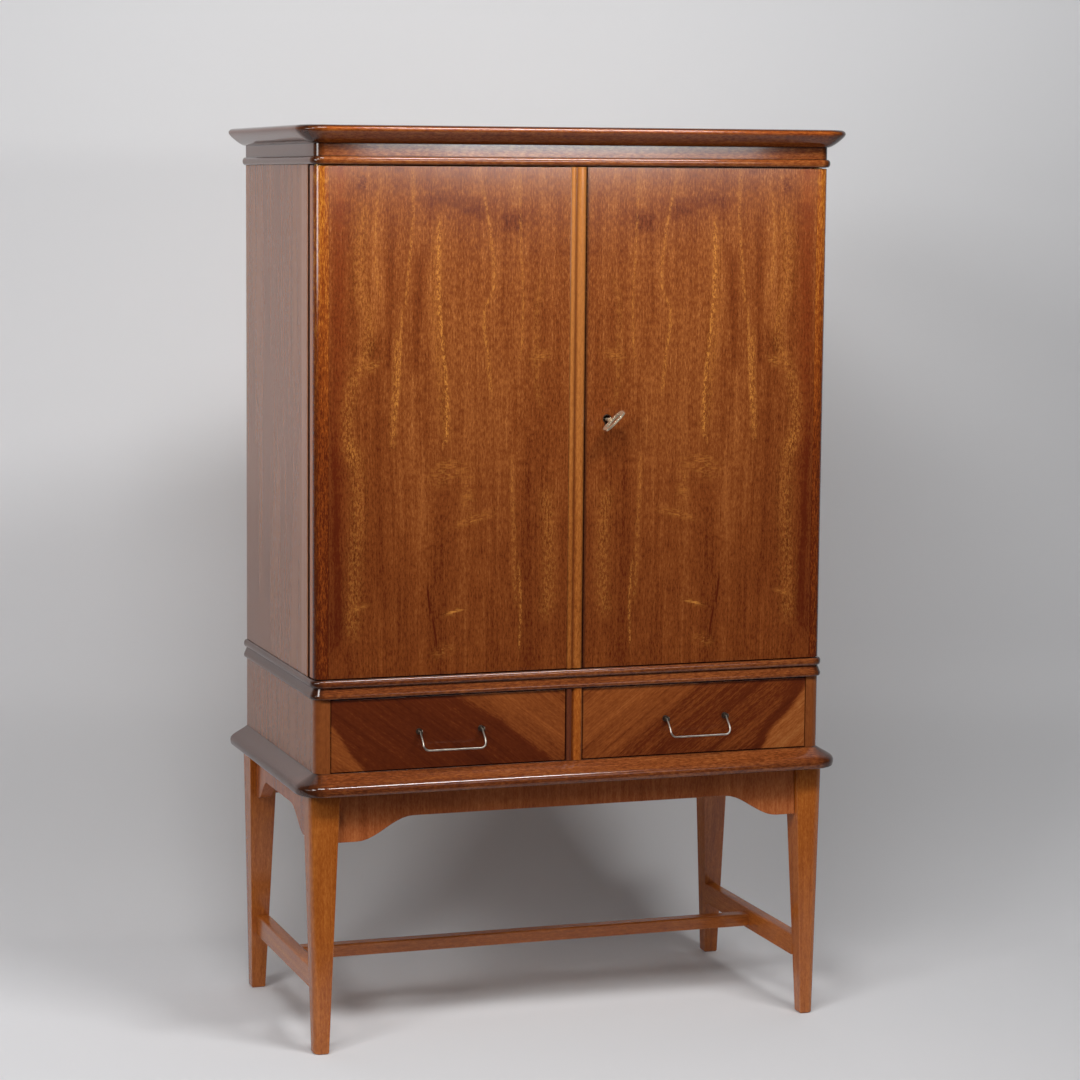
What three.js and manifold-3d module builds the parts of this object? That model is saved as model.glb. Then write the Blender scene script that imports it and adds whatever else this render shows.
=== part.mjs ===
// Bar cabinet with a fold-out shelf, on a stand with tapered legs.
// Millimetres, +Z up, the front faces -Y and +X is to the right of someone facing the front.
// The pieces are written with y = 0 on the front of the doors, and one group moves them so that the
// origin lies under the middle of the whole object, on the floor.

import * as THREE from 'three';
import { mergeVertices } from 'three/addons/utils/BufferGeometryUtils.js';
import Module from 'manifold-3d';

const wasm = await Module();
wasm.setup();

// Driving dimensions of the case
const HALF_WIDTH = 425;
const CASE_DEPTH = 440;
const CORNER_RADIUS = 15;
const KEY_REACH = 44;
const BOARD = 18;
const INNER_HALF = HALF_WIDTH - BOARD;

// How far a cutting body reaches past the face that it cuts
const OVERCUT = 5;

// Heights above the floor
const BASE_BOTTOM = 412;
const BASE_NOSE = 424;
const BASE_TOP = 446.4;
const WAIST_BOTTOM = 562.6;
const WAIST_UPPER_BEAD_BOTTOM = 580.1;
const WAIST_TOP = 593;
const FRIEZE_BOTTOM = 1383.5;
const BEAD_TOP = 1396.5;
const CORNICE_BOTTOM = 1415.2;
const CORNICE_NOSE = 1436.5;
const TOTAL_HEIGHT = 1443;

// How far the mouldings stand out from the case
const WAIST_REACH = 5;
const FRIEZE_BEAD = 5.5;
const MOULDING_REACH = 29;

// Depths from the front plane, which is the front of the doors and the drawers
const DOOR_PANEL = 17;
const DOOR_DEPTH = 36;
const SIDE_TONGUE_FRONT = 39;
const SIDE_OUTER_FRONT = 48;
const SIDE_REBATE = 6;
const SIDE_ROUNDING = 2;
const RAIL_DEPTH = 42;
const BACK_THICKNESS = 9;
const BACK_FRONT = CASE_DEPTH - BACK_THICKNESS;

// Doors
const DOOR_GAP = 1.5;
const DOOR_BOTTOM = WAIST_TOP + DOOR_GAP;
const DOOR_TOP = FRIEZE_BOTTOM - DOOR_GAP;
const LEFT_DOOR_EDGE = 12;
const RIGHT_DOOR_EDGE = LEFT_DOOR_EDGE + DOOR_GAP;
const STILE = 32;
const RAIL = 36;
const BACK_CORNER_RADIUS = 4;
const STRIP_LEFT = -14;
const STRIP_PROUD = 2.6;
const STRIP_THINNEST = 0.4;

// Pivot hinges at the outer ends of the doors
const PIVOT_X = 414;
const PIVOT_Y = 21;
const PIN_RADIUS = 3;
const PIN_LENGTH = 10;
const PIN_CLEARANCE = 0.12;
const PIN_SEAT = 30;
const COLLAR_RADIUS = 7;
const COLLAR_HEIGHT = 1;

// Drawers
const POST_INNER = 400.5;
const STILE_HALF = 13.7;
const DRAWER_GAP = 1.4;
const DRAWER_FRONT = 20;
const DRAWER_BACK = 402;
const DRAWER_SIDE = 12;
const DRAWER_SIDE_GAP = 1.5;
const DRAWER_BOX_DROP = 16;
const DRAWER_BOTTOM_LIFT = 4;
const DRAWER_BOTTOM_THICK = 6;
const DRAWER_CENTRE = 206.5;
const HANDLE_HEIGHT = 506;
const PULL_HALF_WIDTH = 51;
const BAIL_WIRE = 1.5;
const BAIL_AXIS_Y = -7;
const BAIL_DROP = 26;
const BAIL_LEAN = 20.5;
const BAIL_CORNER = 9;
const BAIL_PIN = 0.8;
const BAIL_PIN_HALF = 3.4;
const POST_FOOT_RADIUS = 5;
const POST_FOOT_THICK = 1.2;
const POST_NECK_RADIUS = 2.6;
const POST_HEAD_RADIUS = 3.6;
const POST_HEAD_HALF = 3.6;
const FORK_HALF = 1.9;
const FORK_BACK = 2.2;

// Lock and key
const KEY_X = 50;
const KEY_Z = 988;
const KEY_TILT = THREE.MathUtils.degToRad(44);
const SHANK_RADIUS = 2.7;
const SHANK_END = 28;
const KEY_COLLAR_RADIUS = 4;
const KEY_COLLAR_FRONT = -14.5;
const KEY_COLLAR_BACK = -11.5;
const BIT_START = 1;
const BIT_REACH = 9.6;
const BIT_FRONT = 20;
const BIT_BACK = 27;
const BIT_HALF = 1.25;
const BOLT_THROW = 10;
const BOLT_CLEARANCE = 0.4;
const CHAMBER_BACK = 30;
const CHAMBER_CLEARANCE = 1.2;
const BOLT_CHANNEL_END = 60;

// Fold-out shelf and its swing-out bracket
const SHELF_LEFT = 84;
const SHELF_RIGHT = 386;
const SHELF_FRONT = 20;
const SHELF_THICK = 14;
const SHELF_BOTTOM = 839.5;
const SHELF_REACH = 240;
const SHELF_AXIS_Y = 37;
const SHELF_AXIS_Z = 836.5;
const BRACKET_X = 160;
const BRACKET_Y = 28;
const BRACKET_REACH = 155;
const BRACKET_HALF = 6;
const BRACKET_PIN = 2.5;
const BRACKET_PIN_DEPTH = 6;
const BRACKET_HOLE_DEPTH = 8;
const BRACKET_ARM_START = 12;
const BRACKET_TIP_DEPTH = 20;
const BRACKET_HEEL_ROOM = 7;
const BRACKET_TIP_ROOM = 13;
const BARREL_GAP = 0.6;
const LEDGE_TOP = 833.5;
const LEDGE_BOTTOM = 800;
const LOWER_RAIL_BOTTOM = 700;
const LOWER_RAIL_TOP = 730;

// Stand
const LEG_OUTER_TOP = 433.5;
const LEG_OUTER_FOOT = 425.2;
const LEG_WIDTH_TOP = 48.5;
const LEG_WIDTH_FOOT = 23.7;
const LEG_DEPTH_TOP = 46.5;
const LEG_DEPTH_FOOT = 23;
const LEG_FRONT_TOP = -2.5;
const LEG_FRONT_FOOT = 0.8;
const LEG_REAR = 432;
const LEG_CORNER_TOP = 15;
const LEG_CORNER_FOOT = 11;
const FOOT_WEAR = 1.6;
const FOOT_WEAR_HEIGHT = 2.6;
const STAND_GAP = 0.3;
const APRON_THICK = 20;
const APRON_INSET = 9;
const SIDE_APRON_INSET = 10;
const APRON_ARCH = 371.5;
const APRON_LOBE = 335;
const LONG_LOBE_FLAT = 32;
const LONG_LOBE_CURVE = 92;
const SIDE_FRONT_FLAT = 34.5;
const SIDE_FRONT_CURVE = 81;
const SIDE_REAR_FLAT = 17.6;
const SIDE_REAR_CURVE = 60;
const RAIL_OUTER = 418;
const RAIL_THICK = 22;
const RAIL_BOTTOM = 93;
const RAIL_TOP = 127;
const CROSS_RAIL_DEPTH = 24;
const CROSS_RAIL_BOTTOM = 99;
const CROSS_RAIL_TOP = 119.5;
const CROSS_RAIL_Y = 216;
const RAIL_EASE = 2;

// Colours and finishes
const finish = (color, roughness, metalness = 0) =>
  new THREE.MeshStandardMaterial({ color, roughness, metalness });
const veneer = finish(0x8a4a22, 0.35);
const drawerVeneer = finish(0x6e3017, 0.35);
const sideVeneer = finish(0x74483a, 0.35);
const standWood = finish(0x8b4c22, 0.45);
const mouldingWood = finish(0x75391b, 0.35);
const innerWood = finish(0xb98a5a, 0.6);
const steel = finish(0xb9b2a8, 0.3, 1);
const brass = finish(0xb08d57, 0.35, 1);

const cabinet = new THREE.Group();
cabinet.position.y = (KEY_REACH - CASE_DEPTH) / 2;

function add(name, geometry, material) {
  const mesh = new THREE.Mesh(geometry, material);
  mesh.name = name;
  cabinet.add(mesh);
  return mesh;
}

// Basic shapes
function block(x0, x1, y0, y1, z0, z1) {
  const geometry = new THREE.BoxGeometry(x1 - x0, y1 - y0, z1 - z0);
  return geometry.translate((x0 + x1) / 2, (y0 + y1) / 2, (z0 + z1) / 2);
}

function shapeOf(points) {
  return new THREE.Shape(points.map(([a, b]) => new THREE.Vector2(a, b)));
}

// A plan outline raised from z0 to z1
function prismZ(points, z0, z1) {
  const geometry = new THREE.ExtrudeGeometry(shapeOf(points), { depth: z1 - z0, bevelEnabled: false });
  return geometry.translate(0, 0, z0);
}

// An outline in x and z, carried from y0 to y1
function prismY(points, y0, y1) {
  const geometry = new THREE.ExtrudeGeometry(shapeOf(points), { depth: y1 - y0, bevelEnabled: false });
  return geometry.rotateX(Math.PI / 2).translate(0, y1, 0);
}

// An outline in y and z, carried from x0 to x1
function prismX(points, x0, x1) {
  const geometry = new THREE.ExtrudeGeometry(shapeOf(points), { depth: x1 - x0, bevelEnabled: false });
  const turn = new THREE.Matrix4().makeBasis(
    new THREE.Vector3(0, 1, 0),
    new THREE.Vector3(0, 0, 1),
    new THREE.Vector3(1, 0, 0),
  );
  return geometry.applyMatrix4(turn).translate(x0, 0, 0);
}

function rodX(x0, x1, y, z, radius, sides = 16) {
  const geometry = new THREE.CylinderGeometry(radius, radius, x1 - x0, sides);
  return geometry.rotateZ(Math.PI / 2).translate((x0 + x1) / 2, y, z);
}

function rodY(y0, y1, x, z, radius, sides = 16) {
  const geometry = new THREE.CylinderGeometry(radius, radius, y1 - y0, sides);
  return geometry.translate(x, (y0 + y1) / 2, z);
}

function rodZ(z0, z1, x, y, radius, sides = 16) {
  const geometry = new THREE.CylinderGeometry(radius, radius, z1 - z0, sides);
  return geometry.rotateX(Math.PI / 2).translate(x, y, (z0 + z1) / 2);
}

// Solids for joins and cuts
function solid(geometry) {
  const bare = geometry.clone();
  bare.deleteAttribute('normal');
  bare.deleteAttribute('uv');
  const merged = mergeVertices(bare, 1e-4);
  const mesh = new wasm.Mesh({
    numProp: 3,
    vertProperties: new Float32Array(merged.attributes.position.array),
    triVerts: new Uint32Array(merged.index.array),
  });
  return new wasm.Manifold(mesh);
}

function geometryOf(body) {
  const mesh = body.getMesh();
  const geometry = new THREE.BufferGeometry();
  geometry.setAttribute('position', new THREE.BufferAttribute(new Float32Array(mesh.vertProperties), 3));
  geometry.setIndex(new THREE.BufferAttribute(new Uint32Array(mesh.triVerts), 1));
  return geometry;
}

function cut(geometry, ...tools) {
  return geometryOf(tools.reduce((body, tool) => body.subtract(solid(tool)), solid(geometry)));
}

function join(...pieces) {
  return geometryOf(pieces.slice(1).reduce((body, piece) => body.add(solid(piece)), solid(pieces[0])));
}

// Points on an arc, angles in degrees
function arc(cx, cy, radius, from, to, steps) {
  const points = [];
  for (let i = 0; i <= steps; i += 1) {
    const angle = THREE.MathUtils.degToRad(from + ((to - from) * i) / steps);
    points.push([cx + radius * Math.cos(angle), cy + radius * Math.sin(angle)]);
  }
  return points;
}

function mirrored(points) {
  return points.map(([x, y]) => [-x, y]).reverse();
}

// A closed body through stacked outlines of equal length, each with its own height
function loft(layers) {
  const count = layers[0].outline.length;
  const positions = layers.flatMap(({ outline, z }) => outline.flatMap(([x, y]) => [x, y, z]));
  const index = [];
  for (let k = 0; k + 1 < layers.length; k += 1) {
    for (let i = 0; i < count; i += 1) {
      const j = (i + 1) % count;
      const a = k * count + i;
      const b = k * count + j;
      index.push(a, b, b + count, a, b + count, a + count);
    }
  }
  const cap = (outline) => {
    const contour = outline.map(([x, y]) => new THREE.Vector2(x, y));
    return THREE.ShapeUtils.triangulateShape(contour, []);
  };
  cap(layers[0].outline).forEach(([a, b, c]) => index.push(c, b, a));
  const top = (layers.length - 1) * count;
  cap(layers[layers.length - 1].outline).forEach(([a, b, c]) => index.push(top + a, top + b, top + c));
  const geometry = new THREE.BufferGeometry();
  geometry.setAttribute('position', new THREE.Float32BufferAttribute(positions, 3));
  geometry.setIndex(index);
  return geometry;
}

// The plan of the case, pushed outward: round at the two front corners, flush at the back
function caseOutline(reach, cornerSteps = 6) {
  const centreX = HALF_WIDTH - CORNER_RADIUS;
  const radius = CORNER_RADIUS + reach;
  return [
    ...arc(-centreX, CORNER_RADIUS, radius, 180, 270, cornerSteps),
    ...arc(centreX, CORNER_RADIUS, radius, 270, 360, cornerSteps),
    [HALF_WIDTH + reach, CASE_DEPTH],
    [-HALF_WIDTH - reach, CASE_DEPTH],
  ];
}

// A moulding round the case from a profile of [reach, height] pairs
function moulding(profile) {
  return loft(profile.map(([reach, z]) => ({ outline: caseOutline(reach), z })));
}

// A nosing as profile points: a round nose low down, and above it a straight slope that ends where
// the next member begins at z1. Each pair is a share of the reach and a share of the height.
function nosing(z0, z1, reach) {
  const shares = [[0, 0], [0.68, 0.03], [0.92, 0.11], [1, 0.24], [0.96, 0.35], [0.82, 0.45]];
  return shares.map(([out, rise]) => [reach * out, z0 + (z1 - z0) * rise]);
}

// A half-round bead between two heights, as profile points
function bead(z0, z1, reach, steps = 6) {
  const points = [];
  for (let i = 0; i <= steps; i += 1) {
    const angle = Math.PI * (i / steps);
    const z = (z0 + z1) / 2 - (Math.cos(angle) * (z1 - z0)) / 2;
    points.push([reach * Math.sin(angle) ** 0.8, z]);
  }
  return points;
}

// Stand
function legOutline(outer, width, front, depth, corner) {
  const inner = outer - width;
  const rear = front + depth;
  return mirrored([
    ...mirrored(arc(-outer + corner, front + corner, corner, 180, 270, 6)),
    [outer, rear],
    [inner, rear],
    [inner, front],
  ]);
}

function frontLeg() {
  const foot = [LEG_OUTER_FOOT, LEG_WIDTH_FOOT, LEG_FRONT_FOOT, LEG_DEPTH_FOOT, LEG_CORNER_FOOT];
  const top = [LEG_OUTER_TOP, LEG_WIDTH_TOP, LEG_FRONT_TOP, LEG_DEPTH_TOP, LEG_CORNER_TOP];
  const change = [-FOOT_WEAR, -2 * FOOT_WEAR, FOOT_WEAR, -2 * FOOT_WEAR, -FOOT_WEAR];
  const toe = foot.map((size, i) => size + change[i]);
  return loft([
    { outline: legOutline(...toe), z: 0 },
    { outline: legOutline(...foot), z: FOOT_WEAR_HEIGHT },
    { outline: legOutline(...top), z: BASE_BOTTOM },
  ]);
}

function rearLeg() {
  const section = (outer, width, depth, inset) => [
    [-outer + inset, LEG_REAR - depth + inset],
    [-outer + width - inset, LEG_REAR - depth + inset],
    [-outer + width - inset, LEG_REAR - inset],
    [-outer + inset, LEG_REAR - inset],
  ];
  return loft([
    { outline: section(LEG_OUTER_FOOT, LEG_WIDTH_FOOT, LEG_DEPTH_FOOT, FOOT_WEAR), z: 0 },
    { outline: section(LEG_OUTER_FOOT, LEG_WIDTH_FOOT, LEG_DEPTH_FOOT, 0), z: FOOT_WEAR_HEIGHT },
    { outline: section(LEG_OUTER_TOP, LEG_WIDTH_TOP, LEG_DEPTH_TOP, 0), z: BASE_BOTTOM },
  ]);
}

function flipX(geometry) {
  const flipped = geometry.clone().scale(-1, 1, 1);
  const index = flipped.index.array;
  for (let i = 0; i < index.length; i += 3) {
    [index[i], index[i + 2]] = [index[i + 2], index[i]];
  }
  return flipped;
}

add('leg_front_left', frontLeg(), standWood);
add('leg_front_right', flipX(frontLeg()), standWood);
add('leg_rear_left', rearLeg(), standWood);
add('leg_rear_right', flipX(rearLeg()), standWood);

// How far a leg's inner face has moved back from its top end at a height
function taper(topSize, footSize, z) {
  return ((topSize - footSize) * (BASE_BOTTOM - z)) / BASE_BOTTOM;
}

// Half an apron: from the end of the arch's level part, down to a lobe and up the leg
function apronOutline(endTop, endLobe, lobeFlat, curveRun) {
  const curveEnd = endLobe - lobeFlat;
  const curveStart = curveEnd - curveRun;
  const points = [];
  const steps = 10;
  for (let i = 0; i <= steps; i += 1) {
    const t = i / steps;
    const fall = (APRON_ARCH - APRON_LOBE) * (0.5 - 0.5 * Math.cos(Math.PI * t));
    points.push([curveStart + curveRun * t, APRON_ARCH - fall]);
  }
  points.push([endLobe, APRON_LOBE]);
  points.push([endTop, BASE_BOTTOM]);
  return points;
}

const legInnerTop = LEG_OUTER_TOP - LEG_WIDTH_TOP;
const legInnerFoot = LEG_OUTER_FOOT - LEG_WIDTH_FOOT;

function longApron(y0) {
  const endTop = legInnerTop - STAND_GAP;
  const endLobe = endTop - taper(legInnerTop, legInnerFoot, APRON_LOBE);
  const half = apronOutline(endTop, endLobe, LONG_LOBE_FLAT, LONG_LOBE_CURVE);
  return prismY([...mirrored(half), ...half], y0, y0 + APRON_THICK);
}

const frontLegRearTop = LEG_FRONT_TOP + LEG_DEPTH_TOP;
const frontLegRearFoot = LEG_FRONT_FOOT + LEG_DEPTH_FOOT;
const rearLegFrontTop = LEG_REAR - LEG_DEPTH_TOP;
const rearLegFrontFoot = LEG_REAR - LEG_DEPTH_FOOT;

function sideApron(x0) {
  const middle = (frontLegRearTop + rearLegFrontTop) / 2;
  const rearTop = rearLegFrontTop - STAND_GAP;
  const rearLobe = rearTop - taper(rearLegFrontTop, rearLegFrontFoot, APRON_LOBE);
  const frontTop = 2 * middle - frontLegRearTop - STAND_GAP;
  const frontLobe = frontTop + taper(frontLegRearTop, frontLegRearFoot, APRON_LOBE);
  const rear = apronOutline(rearTop, rearLobe, SIDE_REAR_FLAT, SIDE_REAR_CURVE);
  const front = apronOutline(frontTop, frontLobe, SIDE_FRONT_FLAT, SIDE_FRONT_CURVE);
  const forward = front.map(([y, z]) => [2 * middle - y, z]).reverse();
  return prismX([...forward, ...rear], x0, x0 + APRON_THICK);
}

const sideApronOuter = LEG_OUTER_TOP - SIDE_APRON_INSET;
add('apron_front', longApron(LEG_FRONT_TOP + APRON_INSET), standWood);
add('apron_rear', longApron(LEG_REAR - APRON_INSET - APRON_THICK), standWood);
add('apron_left', sideApron(-sideApronOuter), standWood);
add('apron_right', sideApron(sideApronOuter - APRON_THICK), standWood);

// A stretcher with eased upper edges, ends cut to the slope of the legs
function sideStretcher() {
  const front = (z) => frontLegRearTop - taper(frontLegRearTop, frontLegRearFoot, z) + STAND_GAP;
  const rear = (z) => rearLegFrontTop - taper(rearLegFrontTop, rearLegFrontFoot, z) - STAND_GAP;
  const layer = (ease, z) => {
    const x0 = -RAIL_OUTER + ease;
    const x1 = -RAIL_OUTER + RAIL_THICK - ease;
    return { outline: [[x0, front(z)], [x1, front(z)], [x1, rear(z)], [x0, rear(z)]], z };
  };
  return loft([layer(0, RAIL_BOTTOM), layer(0, RAIL_TOP - RAIL_EASE), layer(RAIL_EASE, RAIL_TOP)]);
}

add('stretcher_left', sideStretcher(), standWood);
add('stretcher_right', flipX(sideStretcher()), standWood);

const crossEnd = RAIL_OUTER - RAIL_THICK;
const crossFront = CROSS_RAIL_Y - CROSS_RAIL_DEPTH / 2;
const crossRear = CROSS_RAIL_Y + CROSS_RAIL_DEPTH / 2;
add('stretcher_centre', prismX([
  [crossFront, CROSS_RAIL_BOTTOM],
  [crossRear, CROSS_RAIL_BOTTOM],
  [crossRear, CROSS_RAIL_TOP - RAIL_EASE],
  [crossRear - RAIL_EASE, CROSS_RAIL_TOP],
  [crossFront + RAIL_EASE, CROSS_RAIL_TOP],
  [crossFront, CROSS_RAIL_TOP - RAIL_EASE],
], -crossEnd, crossEnd), standWood);

// Base moulding: a mitred frame that slopes out to a rounded nose
const BASE_OPENING_HALF = 395;
const BASE_OPENING_FRONT = 30;
const BASE_OPENING_REAR = 400;
const baseProfile = [
  [10, BASE_BOTTOM],
  [25, BASE_BOTTOM + 2.2],
  [28, BASE_BOTTOM + 5.5],
  [MOULDING_REACH, BASE_NOSE],
  [27.6, BASE_NOSE + 4.5],
  [23.5, BASE_NOSE + 8.5],
  [16, BASE_NOSE + 13],
  [7, BASE_NOSE + 18],
  [0, BASE_TOP],
];
add('base_moulding', cut(
  moulding(baseProfile),
  block(
    -BASE_OPENING_HALF, BASE_OPENING_HALF, BASE_OPENING_FRONT, BASE_OPENING_REAR,
    BASE_BOTTOM - OVERCUT, BASE_TOP + OVERCUT,
  ),
), mouldingWood);
add('case_bottom', block(
  -BASE_OPENING_HALF, BASE_OPENING_HALF, BASE_OPENING_FRONT, BASE_OPENING_REAR, BASE_TOP - BOARD, BASE_TOP,
), innerWood);

// Drawer part of the case
const lowerSide = [
  ...arc(-HALF_WIDTH + CORNER_RADIUS, CORNER_RADIUS, CORNER_RADIUS, 180, 270, 6),
  [-POST_INNER, 0],
  [-POST_INNER, BACK_FRONT],
  [-INNER_HALF, BACK_FRONT],
  [-INNER_HALF, CASE_DEPTH],
  [-HALF_WIDTH, CASE_DEPTH],
];
add('lower_side_left', prismZ(lowerSide, BASE_TOP, WAIST_BOTTOM), sideVeneer);
add('lower_side_right', prismZ(mirrored(lowerSide), BASE_TOP, WAIST_BOTTOM), sideVeneer);

// The moulded face that the door's meeting strip and the drawer divider share: a bead, a groove, a band
const BEAD_SHARE = 0.33;
const BAND_SHARE = 0.57;
const GROOVE_SHARE = 0.45;
const BAND_PROUD_SHARE = 0.9;
function mouldedFace(left, right, proud) {
  const width = right - left;
  const beadEnd = left + width * BEAD_SHARE;
  const bandStart = right - width * BAND_SHARE;
  const beadHalf = (beadEnd - left) / 2;
  const beadPoints = arc(left + beadHalf, 0, 1, 180, 360, 6).map(([x, y]) => [
    left + beadHalf + (x - left - beadHalf) * beadHalf,
    y * proud,
  ]);
  const grooveEase = 0.3;
  const groove = [
    [beadEnd + grooveEase, proud * GROOVE_SHARE],
    [bandStart - grooveEase, proud * GROOVE_SHARE],
  ];
  const band = [];
  const steps = 6;
  for (let i = 0; i <= steps; i += 1) {
    const t = i / steps;
    const rise = Math.sqrt(Math.max(Math.sin(Math.PI * t), 0));
    band.push([bandStart + (right - bandStart) * t, -proud * BAND_PROUD_SHARE * rise]);
  }
  return [...beadPoints, ...groove, ...band];
}

const DIVIDER_FACE = 36;
const dividerHalf = BOARD / 2;
add('drawer_divider', prismZ([
  ...mouldedFace(-STILE_HALF, STILE_HALF, STRIP_PROUD),
  [STILE_HALF, DIVIDER_FACE],
  [dividerHalf, DIVIDER_FACE],
  [dividerHalf, BACK_FRONT],
  [-dividerHalf, BACK_FRONT],
  [-dividerHalf, DIVIDER_FACE],
  [-STILE_HALF, DIVIDER_FACE],
], BASE_TOP, WAIST_BOTTOM), mouldingWood);

// Holes that the pivot pins and the bolts of the left door enter
const BOLT_ROD_X = -30;
const BOLT_ROD_Y = 26.5;
const BOLT_ROD_RADIUS = 3;
const BOLT_ROD_HOLE = 3.6;
const BOLT_TRAVEL = 12;
const pinHole = PIN_RADIUS + PIN_CLEARANCE;
const pinHoleDepth = PIN_LENGTH + 2;
const boltHoleDepth = BOLT_TRAVEL + 1;

function railHoles(z0, z1, boltZ0, boltZ1) {
  return [
    rodZ(z0, z1, -PIVOT_X, PIVOT_Y, pinHole),
    rodZ(z0, z1, PIVOT_X, PIVOT_Y, pinHole),
    rodZ(boltZ0, boltZ1, BOLT_ROD_X, BOLT_ROD_Y, BOLT_ROD_HOLE),
  ];
}

// Waist moulding: a frame open at the back, with a nosing below and a bead above it
const insideOfFrame = (z0, z1) => block(
  -INNER_HALF, INNER_HALF, RAIL_DEPTH, CASE_DEPTH + OVERCUT, z0 - OVERCUT, z1 + OVERCUT,
);
add('waist_moulding', cut(
  moulding([
    ...nosing(WAIST_BOTTOM, WAIST_UPPER_BEAD_BOTTOM, WAIST_REACH),
    ...bead(WAIST_UPPER_BEAD_BOTTOM, WAIST_TOP, WAIST_REACH),
  ]),
  insideOfFrame(WAIST_BOTTOM, WAIST_TOP),
  ...railHoles(WAIST_TOP - pinHoleDepth, WAIST_TOP + OVERCUT, WAIST_TOP - boltHoleDepth, WAIST_TOP + OVERCUT),
), mouldingWood);
const DECK_BOTTOM = WAIST_BOTTOM + 2.4;
add('case_deck', block(-INNER_HALF, INNER_HALF, RAIL_DEPTH, BACK_FRONT, DECK_BOTTOM, WAIST_TOP), innerWood);

// Upper part of the case. A rebate in the front edge of each side takes the turning corner of the door.
const TONGUE_OUTER = HALF_WIDTH - SIDE_REBATE;
const sideRounding = arc(
  -HALF_WIDTH + SIDE_ROUNDING, SIDE_OUTER_FRONT + SIDE_ROUNDING, SIDE_ROUNDING, 180, 270, 2,
);
const upperSide = [
  [-TONGUE_OUTER, SIDE_TONGUE_FRONT],
  [-INNER_HALF, SIDE_TONGUE_FRONT],
  [-INNER_HALF, CASE_DEPTH],
  [-HALF_WIDTH, CASE_DEPTH],
  ...sideRounding,
  [-TONGUE_OUTER, SIDE_OUTER_FRONT],
];
add('upper_side_left', prismZ(upperSide, WAIST_TOP, FRIEZE_BOTTOM), sideVeneer);
add('upper_side_right', prismZ(mirrored(upperSide), WAIST_TOP, FRIEZE_BOTTOM), sideVeneer);

add('frieze', cut(
  moulding([
    ...bead(FRIEZE_BOTTOM, BEAD_TOP, FRIEZE_BEAD),
    [0, CORNICE_BOTTOM],
  ]),
  insideOfFrame(FRIEZE_BOTTOM, CORNICE_BOTTOM),
  ...railHoles(
    FRIEZE_BOTTOM - OVERCUT, FRIEZE_BOTTOM + pinHoleDepth,
    FRIEZE_BOTTOM - OVERCUT, FRIEZE_BOTTOM + boltHoleDepth,
  ),
), veneer);
const CEILING = CORNICE_BOTTOM - BOARD;
add('case_top', block(-INNER_HALF, INNER_HALF, RAIL_DEPTH, BACK_FRONT, CEILING, CORNICE_BOTTOM), innerWood);

add('cornice', moulding([
  [0.5, CORNICE_BOTTOM],
  [6, CORNICE_BOTTOM + 1.6],
  [14, CORNICE_BOTTOM + 6.2],
  [22.5, CORNICE_BOTTOM + 13],
  [27.4, CORNICE_BOTTOM + 18],
  [MOULDING_REACH, CORNICE_NOSE],
  [28, TOTAL_HEIGHT - 3.2],
  [25.2, TOTAL_HEIGHT - 0.9],
  [21.5, TOTAL_HEIGHT],
]), mouldingWood);

add('back_panel', block(
  -INNER_HALF, INNER_HALF, BACK_FRONT, CASE_DEPTH, BASE_TOP, CORNICE_BOTTOM,
), innerWood);
add('partition', block(-dividerHalf, dividerHalf, RAIL_DEPTH, BACK_FRONT, WAIST_TOP, CEILING), innerWood);

// Fixed shelves: the right one lies above the open bay that the fold-out shelf swings into
const SHELF_FRONT_EDGE = 46;
const LEFT_SHELF_TOP = 985;
const RIGHT_SHELF_TOP = 1110;
const fixedShelf = (x0, x1, top) => block(x0, x1, SHELF_FRONT_EDGE, BACK_FRONT, top - BOARD, top);
add('fixed_shelf_left', fixedShelf(-INNER_HALF, -dividerHalf, LEFT_SHELF_TOP), innerWood);
add('fixed_shelf_right', fixedShelf(dividerHalf, INNER_HALF, RIGHT_SHELF_TOP), innerWood);

// Doors: a veneered panel on a frame, so that the back of each door is a shallow tray
function doorPanelOutline(meetingEdge) {
  return [
    ...arc(-HALF_WIDTH + CORNER_RADIUS, CORNER_RADIUS, CORNER_RADIUS, 180, 270, 6),
    [meetingEdge, 0],
    [meetingEdge, DOOR_PANEL],
    [-HALF_WIDTH, DOOR_PANEL],
  ];
}

function doorFrameOutline(meetingEdge) {
  const r = BACK_CORNER_RADIUS;
  return [
    [-HALF_WIDTH, DOOR_PANEL],
    [meetingEdge, DOOR_PANEL],
    [meetingEdge, DOOR_DEPTH],
    ...arc(-HALF_WIDTH + r, DOOR_DEPTH - r, r, 90, 180, 4),
  ];
}

function recess(x0, x1, z0, z1) {
  return block(x0, x1, DOOR_PANEL - OVERCUT, DOOR_DEPTH + OVERCUT, z0, z1);
}

const frameBottom = DOOR_BOTTOM + RAIL;
const frameTop = DOOR_TOP - RAIL;
const pinSeats = (x) => [
  rodZ(DOOR_BOTTOM - OVERCUT, DOOR_BOTTOM + PIN_SEAT, x, PIVOT_Y, pinHole),
  rodZ(DOOR_TOP - PIN_SEAT, DOOR_TOP + OVERCUT, x, PIVOT_Y, pinHole),
];

add('door_left_panel', prismZ(doorPanelOutline(LEFT_DOOR_EDGE), DOOR_BOTTOM, DOOR_TOP), veneer);

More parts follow.
